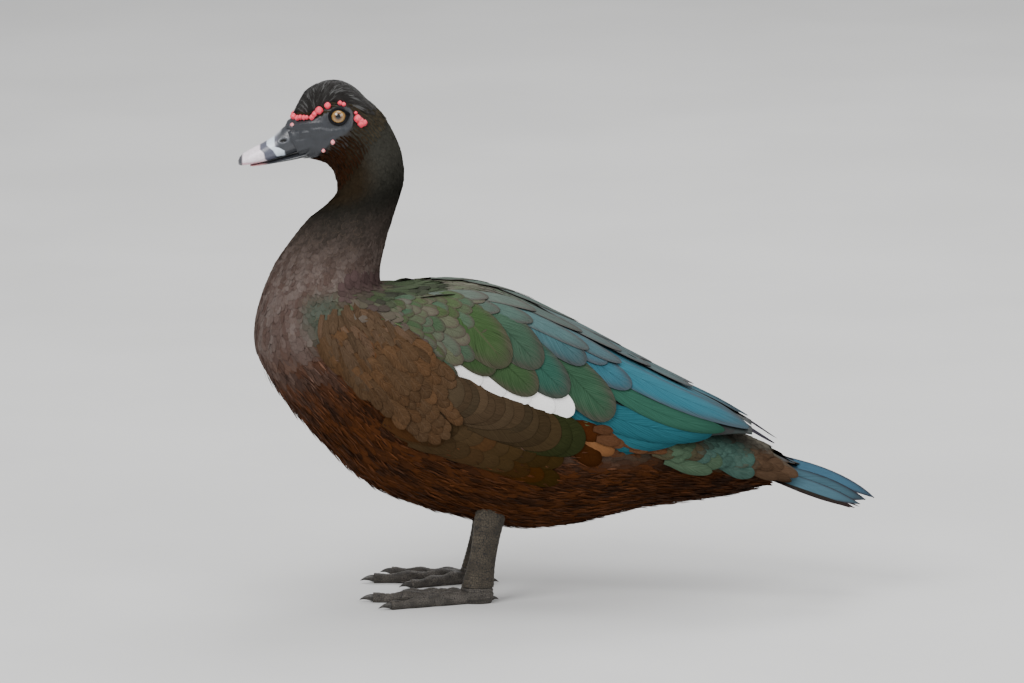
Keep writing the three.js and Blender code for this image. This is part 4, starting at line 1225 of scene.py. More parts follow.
class DUCK_OT_skin(DuckOperator, bpy.types.Operator):
    """One skin from the bill's base to the tail, bare and folded on the face"""
    bl_idname = "duck.skin"
    bl_label = "Skin"

    def make(self, settings):
        places = np.concatenate([np.linspace(0, HEAD_END, HEAD_RINGS)[:-1],
                                 np.linspace(HEAD_END, SKIN_END, BODY_RINGS)])
        angles = np.linspace(-math.pi, math.pi, SKIN_COLUMNS + 1)[:-1]
        place, angle = np.meshgrid(places, angles, indexing="ij")
        bare = bare_share(place, angle)
        depth = settings.coat_depth * (0.35 + 0.65 * smooth(place, 5, 12))
        height = -depth * (1 - bare) + bare * face_folds(place, angle)
        height = height - 0.003 * (1 - smooth(place, 0.0, 0.25))
        rings = coat_point(place, angle) + BODY_SURFACE.tangents(place, angle)[2] * height[..., None]
        middle = ring_frame(BODY, place)[0]
        middle = np.stack([middle[..., 0], 0 * place, middle[..., 1]], -1)
        rings = rings + (middle - rings) * (0.9 * smooth(place, SKIN_END - 1.6, SKIN_END))[..., None]
        points, faces = tube(rings)
        tint = blend(np.array([0.02, 0.015, 0.012]), FACE_GREY, bare)
        socket = body_point(place, angle)
        far = np.hypot(socket[..., 0] - EYE_X, socket[..., 2] - EYE_Z)
        tint = blend(FACE_GREY * 0.12, tint, smooth(far, 0.0088, 0.0098))
        skin = mesh_object("skin", points, faces, skin_material(), "head_plumage",
                           colours={"Tint": tube_values(tint)})
        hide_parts("head", "neck", "torso")


# Creases and ridges of the bare face: height (mm), width (mm), then x and z along each one (mm).
FACE_LINES = [
    (-1.3, 1.1, [[-262, 446], [-259.6, 447.1], [-248.2, 448.4], [-238.5, 449.0], [-230, 447.5]]),
    (0.9, 1.6, [[-256, 449.5], [-252.4, 451.4], [-246.9, 453.8], [-234.9, 455.0], [-221.6, 456.3]]),
    (1.0, 1.8, [[-242, 446.0], [-238.4, 447.1], [-224.0, 450.0], [-214.4, 448.1], [-198.7, 450.6]]),
    (-0.9, 1.3, [[-247, 439.4], [-244.5, 439.8], [-231.2, 442.3], [-218.6, 441.6], [-209.0, 445.7]]),
    (-0.8, 0.9, [[-246, 421.0], [-238.8, 424.2], [-236, 426.5], [-233.0, 429.4]]),
    (0.5, 1.3, [[-253, 425.0], [-243.6, 428.5], [-233.3, 432.8]]),
]


def face_folds(place, angle):
    """Height of the soft folds of the bare face: a few ridges and creases, and fine ripples."""
    point = body_point(place, angle)
    x, z = point[..., 0], point[..., 2]
    total = 0.00012 * np.sin(x * 1900 + 3 * np.sin(z * 700)) * np.sin(z * 1500 + 2 * np.sin(x * 600))
    for height, width, line in FACE_LINES:
        line = np.array(line) * MM
        off = (z - np.interp(x, line[:, 0], line[:, 1])) / (width * MM)
        first, last = line[0, 0], line[-1, 0]
        ends = between(x, first - 2 * MM, first + 2 * MM, last - 3 * MM, last + 2 * MM)
        total = total + height * MM * np.exp(-off ** 2) * ends
    return total


# Rings and points in each: of an eyeball, and round and across a lid.
EYE_GRID, LID_GRID = (60, 64), (96, 20)
# The two rings of a lid: radius, thickness and height (mm), and how wavy it is.
LID_RINGS = [(7.3, 0.8, 1.2, 0.0), (8.5, 0.9, 1.3, 0.04)]


class DUCK_OT_eyes(DuckOperator, bpy.types.Operator):
    """Eyeballs with iris and pupil, and the dark folded lids round them"""
    bl_idname = "duck.eyes"
    bl_label = "Eyes"

    def make(self, settings):
        material = eye_material()
        lid = plain_material("lid", (0.002, 0.002, 0.003), (0.006, 0.006, 0.008), 700.0, 0.4, 0.0002, 0.15)
        for name, side in SIDES.items():
            centre, out = eye_seat(side)
            up = unit(np.cross(np.array([side, 0, 0]), out))
            front = unit(np.cross(out, up))
            theta = np.linspace(0.02, math.pi - 0.02, EYE_GRID[0])[:, None]
            phi = ring_angles(EYE_GRID[1])
            bulge = EYE_RADIUS * (1 + 0.04 * np.exp(-(theta / 0.5) ** 2))
            flat = bulge * np.sin(theta)
            rings = (centre + (bulge * np.cos(theta) * np.ones_like(phi))[..., None] * out
                     + (flat * np.cos(phi))[..., None] * front + (flat * np.sin(phi))[..., None] * up)
            points, faces = tube(rings)
            ring = np.broadcast_to(theta / math.asin(EYE_SHOWING / EYE_RADIUS) * 0.98, EYE_GRID)
            iris = np.stack([np.broadcast_to(phi / TURN, EYE_GRID), ring], -1).reshape(-1, 2)
            iris = np.concatenate([iris, [[0, 0], [0, 2]]])
            eye = mesh_object(f"eyeball_{name}", points, faces, material, "eye", uvs={"Iris": iris})
            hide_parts(f"eye_{name}")
            self.make_lids(name, centre, out, front, up, lid)

    def make_lids(self, name, centre, out, front, up, material):
        """Two soft rings: a thin wet rim on the eyeball and a wider fold outside it.

        The opening is almost round, with a short corner towards the bill."""
        turn, section = ring_angles(LID_GRID[0]).T, ring_angles(LID_GRID[1])
        corner = 1 + 0.24 * np.exp(-((np.angle(np.exp(1j * (turn - math.pi))) + 0.25) / 0.3) ** 2)
        parts = []
        for radius, thick, rise, wave in LID_RINGS:
            reach = radius * MM * corner * (1 + 0.03 * np.cos(2 * turn))
            fat = thick * MM * (1 + wave * np.sin(turn * 17) * np.cos(turn * 5))
            r = reach + fat * np.cos(section)
            h = EYE_SINK + rise * MM + fat * np.sin(section)
            rings = (centre + h[..., None] * out + (r * np.cos(turn))[..., None] * front
                     + (r * np.sin(turn) * 0.93)[..., None] * up)
            points = rings.reshape(-1, 3)
            index = np.arange(len(points)).reshape(LID_GRID)
            after = np.roll(index, -1, 0)
            quads = np.stack([index, after, np.roll(after, -1, 1), np.roll(index, -1, 1)], -1).reshape(-1, 4)
            parts.append((points, outward(points, [quads])))
        points, faces = merged(parts)
        mesh_object(f"lids_{name}", points, faces, material, "bare_skin")


# Tints that multiply the caruncles' red.
RED, PALE = (1, 1, 1), (1.1, 5.0, 3.2)


class DUCK_OT_caruncles(DuckOperator, bpy.types.Operator):
    """Red bulbs over and behind the eye, and the paler ones on the cheek"""
    bl_idname = "duck.caruncles"
    bl_label = "Caruncles"

    def make(self, settings):
        rng = np.random.default_rng(settings.seed + 40)
        parts, tints = [], []
        for side in SIDES.values():
            for table, tint in ((BROW_ROW, RED), (REAR_CLUSTER, RED), (CHIN_BULBS, PALE)):
                for x, z, radius in table:
                    place, angle = left_side_at(x, z)
                    normal = BODY_SURFACE.tangents(place, angle)[2]
                    centre = coat_point(place, angle) + normal * radius * 0.35
                    points, faces = self.bulb(centre * [1, -side, 1], radius, rng)
                    parts.append((points, faces))
                    tints.append(np.broadcast_to(tint, (len(points), 3)))
        points, faces = merged(parts)
        mesh_object("caruncles", points, faces, caruncle_material(), "bare_skin",
                    colours={"Tint": np.concatenate(tints)})

    def bulb(self, centre, radius, rng):
        """A lumpy ball: a sphere whose radius swells in a few broad waves."""
        theta = np.linspace(0.05, math.pi - 0.05, 18)[:, None]
        phi = ring_angles(24)
        wave = 1 + 0.05 * np.sin(3 * phi + rng.uniform(0, TURN)) * np.sin(theta) + 0.05 * np.cos(4 * theta)
        scale = np.array([rng.uniform(0.92, 1.1), 1.0, rng.uniform(0.98, 1.14)])
        axis = np.stack([np.sin(theta) * np.cos(phi), np.sin(theta) * np.sin(phi),
                         np.cos(theta) * np.ones_like(phi)], -1)
        return tube(centre + axis * (wave * radius * 1.04)[..., None] * scale)


# How far the widest level of a bill half lies under its middle, as a share of its half height.
BILL_DROP = 0.3


def bill_rings(table, count, around):
    """Rings of one half of the bill, domed above its widest level and flat below, and their angles."""
    place = np.linspace(0, len(table) - 1, count)[:, None]
    angle = ring_angles(around)
    centre, up, half, width = ring_frame(table, place)
    rise = np.cos(angle)
    height = rise * np.where(rise > 0, 1 + BILL_DROP, 1 - BILL_DROP) - BILL_DROP
    x = centre[..., 0] + up[..., 0] * half * height
    z = centre[..., 1] + up[..., 1] * half * height
    y = width * np.sign(np.sin(angle)) * np.abs(np.sin(angle)) ** 0.85
    return np.stack([x, y * np.ones_like(z), z], -1), angle


# Middle of the nostrils, x and z, and the distance from tooth to tooth.
NOSTRIL, TOOTH = (-258.6 * MM, 438 * MM), TURN / 3600
# Edges of the bill's colours. Height and x (mm): where the blue patch starts and ends and the pink
# front ends. Then x and height (mm) of the blue patch's lower edge.
BLUE_START = np.array([[422, -264.5], [423.5, -265.3], [428.4, -268.3], [433, -274.5]]) * MM
BLUE_END = np.array([[422, -256.8], [428.4, -257.8], [430.9, -262.5], [432, -266.8], [436, -267.2]]) * MM
PINK_END = np.array([[416, -271.4], [420, -276], [426, -277.4], [429, -281]]) * MM
BLUE_LOW = np.array([[-265, 422.6], [-257, 423.2]]) * MM


class DUCK_OT_bill(DuckOperator, bpy.types.Operator):
    """Upper and lower halves of the bill with nail, nostrils, edge and coloured bands"""
    bl_idname = "duck.bill"
    bl_label = "Bill"

    def make(self, settings):
        material = bill_material()
        self.make_upper(material)
        self.make_lower(material)

    def make_upper(self, material):
        """The upper half, with the pits of the nostrils, teeth along its edge and the nail."""
        rings, angle = bill_rings(BILL_UPPER, 150, 120)
        x, y, z = rings[..., 0], rings[..., 1], rings[..., 2]
        out = unit(np.stack([0 * y, y, (z - z.mean(1, keepdims=True)) * 1.4], -1))
        back, above = x - NOSTRIL[0], z - NOSTRIL[1]
        pit = np.hypot(back * 0.8, (above - back * 0.2) * 1.6)
        pit = np.where(z > 0.432, pit, 1)
        dent = -0.0022 * np.exp(-(pit / 0.0024) ** 4) + 0.0004 * np.exp(-((pit - 0.0037) / 0.0008) ** 2)
        edge = np.exp(-(((np.abs(angle) % math.pi) / math.pi - 0.5) / 0.05) ** 2) * (np.cos(angle) < 0.05)
        teeth = 0.2 * MM * np.sin(x * TURN / TOOTH) * (x > -0.285) * edge
        nail = 0.0005 * (1 - smooth(x, -0.2965, -0.2945)) * smooth(np.cos(angle), -0.2, 0.1)
        rings = rings + out * (dent + teeth + nail)[..., None]
        points, faces = tube(rings)
        tint = self.upper_tint(x, y, z, pit)
        bill = mesh_object("bill_top", points, faces, material, "bill_horn",
                           colours={"Tint": tube_values(tint)})
        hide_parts("bill_upper")

    def upper_tint(self, x, y, z, pit):
        """Slate horn with a pale blue patch, a slate band, a pink front and a dark nail, a painted highlight
        along the ridge and painted shade in the nostrils.
        """
        patch = past(x, z, BLUE_START, 0.7 * MM) * (1 - past(x, z, BLUE_END, 0.7 * MM))
        under = 1 - smooth(z - np.interp(x, [-0.3, -0.2708, -0.2569], [0.4155, 0.4172, 0.419]), 0.0, 0.0012)
        # Painted highlight: a pale streak along the top of the ridge, where light falls on it.
        ridge_highlight = np.exp(-(y / 0.0045) ** 2) * between(x, -0.272, -0.268, -0.2625, -0.2595)
        strip = between(x, -0.254, -0.25, -0.237, -0.234)
        edge = np.interp(x, [-0.2532, -0.2436, -0.2333], [0.4218, 0.4238, 0.4295])
        return layered(
            FACE_GREY * 1.2, ((0.1, 0.105, 0.14), 1 - smooth(x, -0.268, -0.262)),
            ((0.72, 0.82, 0.92), patch * past(z, x, BLUE_LOW, 0.6 * MM)),
            ((0.92, 0.82, 0.88), 1 - past(x, z, PINK_END, 0.8 * MM)),
            ((0.74, 0.42, 0.5), under * (1 - smooth(x, -0.2725, -0.2705)) * 0.8),
            ((0.07, 0.07, 0.08), 1 - smooth(x, -0.2985, -0.2968)),
            ((0.75, 0.78, 0.82), ridge_highlight * smooth(z, 0.436, 0.439) * 0.8),
            ((0.16, 0.165, 0.18), strip * np.exp(-((z - edge) / 0.0018) ** 2)),
            ((0.16, 0.17, 0.19), np.exp(-((pit - 0.0036) / 0.0009) ** 2) * 0.6),
            # Painted shade: near black inside the nostril pits.
            ((0.006, 0.006, 0.006), 1 - smooth(pit, 0.002, 0.0028)))

    def make_lower(self, material):
        """The plain lower half, pink at the tip and slate behind."""
        rings, _ = bill_rings(BILL_LOWER, 90, 96)
        points, faces = tube(rings)
        tint = blend(np.array([0.5, 0.3, 0.3]), FACE_GREY * 0.8, smooth(rings[..., 0], -0.282, -0.272))
        bill = mesh_object("bill_bottom", points, faces, material, "bill_horn",
                           colours={"Tint": tube_values(tint)})
        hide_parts("bill_lower")


# Height of the crest over the crown: place along the head and height (mm).
CREST_HEIGHTS = np.array([
    [1.3, 0], [1.5, 1.2], [1.8, 2.6], [2.2, 3.6], [2.6, 4.1], [3.0, 4.7], [3.4, 5.5], [3.8, 6.1], [4.2, 5.7],
    [4.6, 4.2], [4.95, 2.0], [5.3, 0.2], [5.6, 0],
])
# Place along the head and angle of the crest's edge.
CREST_EDGE = ([1.4, 2.0, 2.4, 2.9, 3.5, 4.2, 5.2, 6.0], [0.5, 1.0, 1.08, 0.98, 0.86, 0.78, 0.72, 0.5])
CREST_STRANDS = 5200


def crest_edge(place):
    """Angle at which the crest's strands start, just over the row of caruncles."""
    return np.interp(place, *CREST_EDGE)


def crest_point(place, angle, lift=0.0):
    """Surface of the crest: the crown, raised most along its middle."""
    height = np.interp(place, CREST_HEIGHTS[:, 0], CREST_HEIGHTS[:, 1]) * MM
    across = np.cos(np.clip(np.abs(angle) / np.maximum(crest_edge(place), 0.1), 0, 1) * math.pi / 2) ** 0.7
    return coat_point(place, angle, height * across + lift)


CREST_SURFACE = Surface(crest_point, 1, (2e-2, 2e-2), ((0, BODY_END), (-math.pi, math.pi)))


class DUCK_OT_crest(DuckOperator, bpy.types.Operator):
    """Strands of the crest, swept up from the row of caruncles and back over the nape"""
    bl_idname = "duck.crest"
    bl_label = "Crest"

    def make(self, settings):
        rng = np.random.default_rng(settings.seed + 20)
        n = CREST_STRANDS
        place = rng.uniform(1.5, 5.5, n)
        share = rng.uniform(-1, 1, n)
        angle = share * crest_edge(place)
        upward = 1.25 * (1 - smooth(place, 1.8, 5.0)) + 0.25
        turn = -np.sign(angle) * upward * smooth(np.abs(share), 0.0, 0.6) + rng.normal(0, 0.1, n)
        lock = mottle(CREST_SURFACE.point(place, angle), 0.006, 30)
        turn = turn + 0.3 * (lock - 0.5)
        length = rng.uniform(0.009, 0.018, n) * (1 - 0.45 * smooth(place, 4.6, 5.4))
        tips = CREST_SURFACE.onward(place, angle, turn, length)
        # Painted highlight: strands in the paler locks are grey instead of black.
        grey = lock ** 2 * (rng.random(n) > 0.5) * (place < 4.9)
        base = blend(BLACK_BROWN * 0.7, np.array([0.08, 0.08, 0.078]), grey)
        lift = rng.uniform(-0.0012, 0.0, n)
        vanes = Vanes(CREST_SURFACE, place, angle, *tips, rng.uniform(0.0005, 0.001, n), base,
                      base * 0.8, lift=lift, rise=rng.uniform(0.0004, 0.0012, n), camber=0.1,
                      columns=3, shape=(0.5, 0.35, 1.2))
        strand = feather_material("crest_strand", 0.1, 0.35, 0.0, 2.5, shine=0.3)
        core = self.make_core(plain_material("crest_core", BLACK, SOFT_BLACK, 300.0, 0.6, 0.0005))
        feather_pieces("crest_strands", [vanes], strand, "head_plumage", settings.seed)
        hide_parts("crest")

    def make_core(self, material):
        """Dark closed dome just under the strands."""
        share = np.linspace(-1, 1, 41)[None, :]
        place = np.linspace(1.35, 5.7, 60)[:, None] + 0 * share
        angle = share * crest_edge(place)
        sheet = thick_sheet(crest_point(place, angle, -1.4 * MM), coat_point(place, angle, -4 * MM))
        return mesh_object("crest_core", *sheet, material, "head_plumage")


class DUCK_OT_coat(DuckOperator, bpy.types.Operator):
    """Feathers of the head, neck, breast, back, belly and rump"""
    bl_idname = "duck.coat"
    bl_label = "Coat"

    def make(self, settings):
        rng = np.random.default_rng(settings.seed)
        coat = feather_material("coat_feather", 0.03, 0.6, 0.0, 2.0, streak=0.5, vary=0.15)
        short = feather_material("short_feather", 0.0, 0.6, 0.0, 3.0, shine=0.03)
        feather_pieces("head_feathers", [head_batch(rng)], short, "head_plumage", settings.seed)
        for name, batches in neck_and_body_batches(rng).items():
            slot = "neck_plumage" if name.startswith("neck") else "body_plumage"
            feather_pieces(name, batches, coat, slot, settings.seed)
        feather_pieces("wisps", [wisp_batch(rng)], short, "body_plumage", settings.seed)
        large = feather_material("flank_feather", 0.0, 0.6, 0.0, 14.0, streak=0.4, cracks=0.1, dull=0.5,
                                 line=0.6)
        loose = feather_material("shoulder_feather", 0.0, 0.6, 0.1, 3.0, streak=1.0, cracks=0.4, dull=0.6)
        feather_pieces("flank_feathers", flank_batch(rng), large, "body_plumage", settings.seed)
        scale = feather_material("mantle_feather", 0.08, 0.5, 0.0, 8.0, streak=0.6, cracks=0.4, dull=0.7,
                                 line=0.5)
        feather_pieces("mantle_feathers", mantle_batches(rng), scale, "body_plumage", settings.seed)
        feather_pieces("shoulder_feathers", shoulder_batch(rng), loose, "body_plumage", settings.seed)


# Wing feathers: x (mm) and place across the wing of the root, the same of the tip, the
# half width, how blue it is and how much painted grey sheen it carries. Each list goes from the lowest
# feather up.
PRIMARIES = [
    (120, 0.3, 192, 0.4, 8, 1, 0), (130, 0.24, 203, 0.36, 8, 1, 0), (140, 0.2, 211, 0.4, 8, 1, 0),
]
SECONDARIES = [
    (-26, 0.97, 96, 0.99, 15, 0, 0), (-5, 0.9, 124, 0.94, 17, 0, 0), (30, 0.75, 148, 0.92, 14, 0, 0),
]
GREEN_STRIP = [(20, 0.45, 158, 0.84, 10.5, 0, 0)]
TERTIALS = [
    (60, 0.0, 176, 0.16, 12, 0.9, 0.2), (30, 0.08, 182, 0.3, 15, 1, 0.1),
    (-5, 0.24, 185, 0.47, 21, 0.95, 0.0),
]
LONG_COVERTS = [
    (4, 0.27, 71, 0.49, 19, 0.95, 0.05), (-13, 0.5, 55, 0.78, 24, 0.25, 0),
    (-21, 0.17, 47, 0.35, 19, 0.95, 0.15), (-41, 0.19, 27, 0.47, 23, 0.8, 0.2),
    (-50, 0.5, 11, 0.8, 22, 0.4, 0), (-74, 0.58, -20, 0.89, 19, 0.1, 0),
    (-78, 0.23, -14, 0.68, 24, 0.28, 0.1), (-97, 0.6, -60, 0.8, 14, 0.05, 0),
    (-109, 0.17, -47, 0.74, 24, 0, 0),
]
SCAPULARS = [
    (-30, 0.2, 60, 0.27, 14, 0.85, 0.3), (-60, 0.2, 30, 0.3, 16, 0.75, 0.3),
    (-92, 0.17, -20, 0.29, 16, 0.55, 0.3), (-112, 0.12, -55, 0.27, 14, 0.4, 0.35),
    (40, -0.03, 130, 0.05, 13, 0.8, 0.5), (0, -0.02, 90, 0.07, 14, 0.8, 0.5),
    (-30, 0.0, 60, 0.08, 14, 0.75, 0.5), (-66, 0.0, 22, 0.1, 14, 0.65, 0.5),
    (-98, 0.0, -22, 0.1, 14, 0.5, 0.5), (-120, 0.0, -64, 0.1, 13, 0.4, 0.5),
]
WHITE_COVERTS = [
    (-30, 0.84, 15, 0.92, 14, 0, 0), (-52, 0.82, -3, 0.98, 13, 0, 0), (-74, 0.84, -26, 0.96, 13, 0, 0),
    (-94, 0.84, -48, 0.94, 12, 0, 0), (-112, 0.84, -70, 0.88, 11, 0, 0),
]
# Rows of small scales on the shoulder: x, length, how many, half width, slant of the tips and how far
# across the wing the row goes.
SCALE_ROWS = [
    (-98, 30, 4, 10.5, 0.14, 0.62), (-106, 28, 8, 9.5, 0.14, 0.7), (-117, 26, 9, 8.5, 0.13, 2),
    (-127, 24, 10, 7.5, 0.12, 2), (-137, 22, 12, 6.5, 0.11, 2), (-146, 20, 13, 6, 0.1, 2),
    (-154, 18, 14, 5.5, 0.1, 2), (-161, 17, 15, 5, 0.1, 2),
]


# Kinds of wing feather that have one colour, and how dark their rim is beside it.
PLAIN_KINDS = {
    "primary": (np.array([0.03, 0.027, 0.036]), 0.6), "secondary": (TEAL * [1.9, 1.3, 1.4], 0.6),
    "strip": (GREEN * [1.8, 1.05, 1.7], 0.6), "white": (WHITE, 0.95),
}
# Layers of each wing from below: kind, feathers, lowest and highest lift and rise to the tips (mm).
WING_LAYERS = [
    ("primary", PRIMARIES, -4.5, -3.6, 0.4), ("secondary", SECONDARIES, -3.8, -2.6, 0.6),
    ("strip", GREEN_STRIP, -2.0, -2.0, 0.6), ("tertial", TERTIALS, -2.2, -1.4, 0.6),
    ("covert", LONG_COVERTS, -1.4, 1.2, 1.2), ("scapular", SCAPULARS, 0.0, 1.0, 1.4),
]


def wing_colours(kind, blue, grey):
    """Middle and rim colours of the wing's feathers by their kind, how blue they are and how much painted
    grey sheen they carry.
    """
    if kind in PLAIN_KINDS:
        base, shade = PLAIN_KINDS[kind]
        return base, base * shade
    base = layered(WING_GREEN, (WING_TEAL, smooth(blue, 0.0, 0.6)), (WING_BLUE, smooth(blue, 0.55, 1.0)),
                   (WING_SHEEN_GREY, grey))
    if kind == "scale":
        base = base * [1.45, 1.15, 1.3]
    return base, blend(base * 0.7, PURPLE_BROWN * 0.8, 0.65)


def wing_vanes(name, rng, kind, rows, low, high, rise, grid=(14, 9)):
    """Vanes of one kind on one wing, stacked from one height over the wing's face to another."""
    # grey is each feather's share of painted grey sheen.
    x, across, tip_x, tip_across, half, blue, grey = np.array(rows, float).T
    n = len(rows)
    base, rim = wing_colours(kind, blue, grey)
    mark = (kind == "covert") * (x < -105) * 0.15
    return Vanes(
        WING_SURFACES[name], x * MM + rng.normal(0, 0.001, n), across, tip_x * MM + rng.normal(0, 0.001, n),
        tip_across, half * MM, base, rim, lift=np.linspace(low, high, n) * MM, rise=rise * MM,
        roll=0.0002 + rng.normal(0, 0.0001, n), camber=0.012, thickness=0.25 * MM, rows=grid[0],
        columns=grid[1], mark=mark,
        shape=(0.35 if kind == "scapular" else 0.9, 0.35, 5.0 if kind == "tertial" else 2.8))


def scale_rows(rng):
    """Roots and tips of the small scales on the shoulder, row by row, each row set half a step off."""
    rows = []
    for k, (x, run, count, half, slant, end) in enumerate(SCALE_ROWS):
        for i in range(count):
            across = (i + 0.5 * (k % 2) + 0.2) / count + rng.normal(0, 0.012)
            if across > end:
                continue
            start = x + rng.normal(0, 1.6)
            # The last two values say how blue the scale is and how much painted grey sheen it carries.
            rows.append((start, across * 0.97, start + run * rng.uniform(0.9, 1.12),
                         across * 0.97 + slant * rng.uniform(0.6, 1.4), half * rng.uniform(0.9, 1.12),
                         0.22 * rng.random(), 0.4 * rng.random() ** 2))
    return rows


# How deep the wing's core lies under its face.
CORE_DEPTH = 4.5 * MM


class DUCK_OT_wings(DuckOperator, bpy.types.Operator):
    """Both folded wings: flight feathers, coverts in tiers and the white patch"""
    bl_idname = "duck.wings"
    bl_label = "Wings"

    def make(self, settings):
        material = feather_material("wing_feather", 0.1, 0.45, 0.0, 30.0, streak=0.5, cracks=0.6, dull=0.8,
                                    line=0.55, vary=0.15, stem=0.25)
        white = feather_material("white_feather", 0.0, 0.6, 0.0, 9.0, streak=0.1)
        core = plain_material("wing_core", BLACK, (0.01, 0.02, 0.018), 200.0, 0.6, 0.0005)
        for name, side in SIDES.items():
            rng = np.random.default_rng(settings.seed + 60 + side)
            layers = [wing_vanes(name, rng, *layer) for layer in WING_LAYERS]
            layers.append(wing_vanes(name, rng, "scale", scale_rows(rng), 1.0, 1.6, 0.9, (10, 7)))
            whites = [wing_vanes(name, rng, "white", WHITE_COVERTS, -1.4, -0.4, 0.8)]
            feather_pieces(f"wing_feathers_{name}", layers, material, "wing_feathers", settings.seed)
            feather_pieces(f"white_coverts_{name}", whites, white, "wing_feathers", settings.seed)
            self.make_core(name, core)

    def make_core(self, name, material):
        """Dark solid wing under the feathers, thick at the shoulder and thin behind."""
        point = WING_SURFACES[name].point
        x, across = np.meshgrid(np.linspace(-0.15, 0.186, 80), np.linspace(0.0, 1, 40), indexing="ij")
        depth = (0.014 - 0.0125 * smooth(x, -0.14, 0.15)) * (0.2 + 0.8 * smooth(across, 0, 0.25))
        sheet = thick_sheet(point(x, across, -CORE_DEPTH), point(x, across, -CORE_DEPTH - depth))
        wing = mesh_object(f"wing_core_{name}", *sheet, material, "wing_feathers")
        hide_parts(f"wing_{name}")


# Tail fan: share across and reach (mm) of the root, the same of the tip, half width, lift and roll
# (mm), then the colour and how far the tips curl.
# The first group is a low layer of near-black vanes under the whole fan: painted shadow, which shows in the
# gap between its near and far halves.
TAIL_FAN = [
    ([(-1.0, 0, -1.08, 76, 7, -1.5, 0), (-0.85, 0, -0.98, 80, 8, -1.6, 2), (-0.5, 0, -0.78, 84, 7, -2, 0),
      (0.9, 0, 0.9, 76, 9, -3.2, 0), (0.6, 0, 0.6, 84, 9, -3, 0), (0.3, 0, 0.3, 80, 10, -3, 0),
      (0.0, 0, 0.0, 80, 12, -3.4, 0), (-0.2, 0, -0.25, 76, 12, -3.4, 0)], BLACK_BROWN * 1.4, 0.0),
    ([(1.0, 0, 0.5, 86, 7, 0.4, 3), (0.9, 0, 0.35, 90, 7, 1.4, 3), (0.9, 0, 0.15, 94, 8, 2.6, 4),
      (1.0, 0, -0.04, 97, 9, 4.4, 5)], SLATE_BLUE * [1.1, 0.95, 0.95], -0.006),
    ([(-0.85, 0, -0.8, 84, 8, 1.0, 4), (-0.55, 0, -0.52, 88, 11, 2.4, 6)],
     np.array([0.046, 0.093, 0.118]), 0.0),
]
# Coverts over the fan's root: share and reach (mm) of the root, the same of the tip, half width, lift
# and how far the tip drops (mm).
ROOT_COVERTS = [
    (1.05, -4, 0.95, 42, 9, 4, 3), (0.75, -4, 0.7, 38, 9, 5, 4), (0.4, -6, 0.4, 30, 9, 7, 6),
    (-0.9, -6, -0.95, 14, 7, 6, 4), (-0.6, -6, -0.6, 16, 8, 8, 5), (-0.3, -6, -0.3, 18, 9, 9, 6),
    (0.05, -8, 0.05, 22, 9, 10, 7), (0.9, -12, 0.95, 26, 9, 12, 6), (0.5, -14, 0.5, 20, 10, 13, 6),
    (0.1, -16, 0.1, 14, 10, 14, 5), (-0.5, -16, -0.5, 8, 9, 13, 5),
]
# Tail coverts: place and angle of root and tip, and half width (mm).
TAIL_COVERTS = [
    (27.1, 0.6, 28.5, 0.75, 7), (27.0, 1.1, 28.4, 1.35, 6), (26.9, 1.5, 28.1, 1.8, 5),
    (26.7, 1.3, 28.0, 1.6, 6), (26.4, 1.5, 27.5, 1.8, 6), (26.3, 0.1, 28.0, 0.25, 9),
    (26.2, 0.4, 27.9, 0.5, 9), (26.12, 0.85, 27.78, 1.12, 11), (25.6, 0.15, 27.1, 0.15, 10),
    (25.9, 0.6, 27.4, 0.7, 10), (25.6, 1.39, 26.6, 1.62, 8), (25.26, 0.99, 26.6, 1.12, 14),
    (24.86, 0.62, 26.0, 0.6, 10), (24.9, 0.2, 26.2, 0.15, 11), (24.44, 1.51, 25.5, 1.6, 7),
    (24.68, 1.26, 25.7, 1.36, 11), (24.26, 1.2, 25.12, 1.24, 11), (23.8, 0.75, 25.0, 0.8, 11),
    (23.9, 0.25, 25.2, 0.25, 12), (23.24, 1.27, 24.44, 1.28, 10), (22.9, 0.95, 24.2, 1.0, 11),
]


def rump_colours(point, turn):
    """Grey-brown at the front and along the back, green and then teal on the sides."""
    x = point[:, 0]
    base = layered(
        GREY_BROWN * [0.78, 0.5, 0.35], (GREY_BROWN * [0.6, 0.5, 0.42], smooth(x, 0.1, 0.15)),
        ((0.05, 0.08, 0.05), between(x, 0.108, 0.122, 0.136, 0.146)),
        ((0.045, 0.085, 0.07), between(x, 0.142, 0.155, 0.178, 0.196)))
    return blend(GREY_BROWN * [0.8, 1.0, 1.1], base, smooth(turn, 0.35, 0.8))


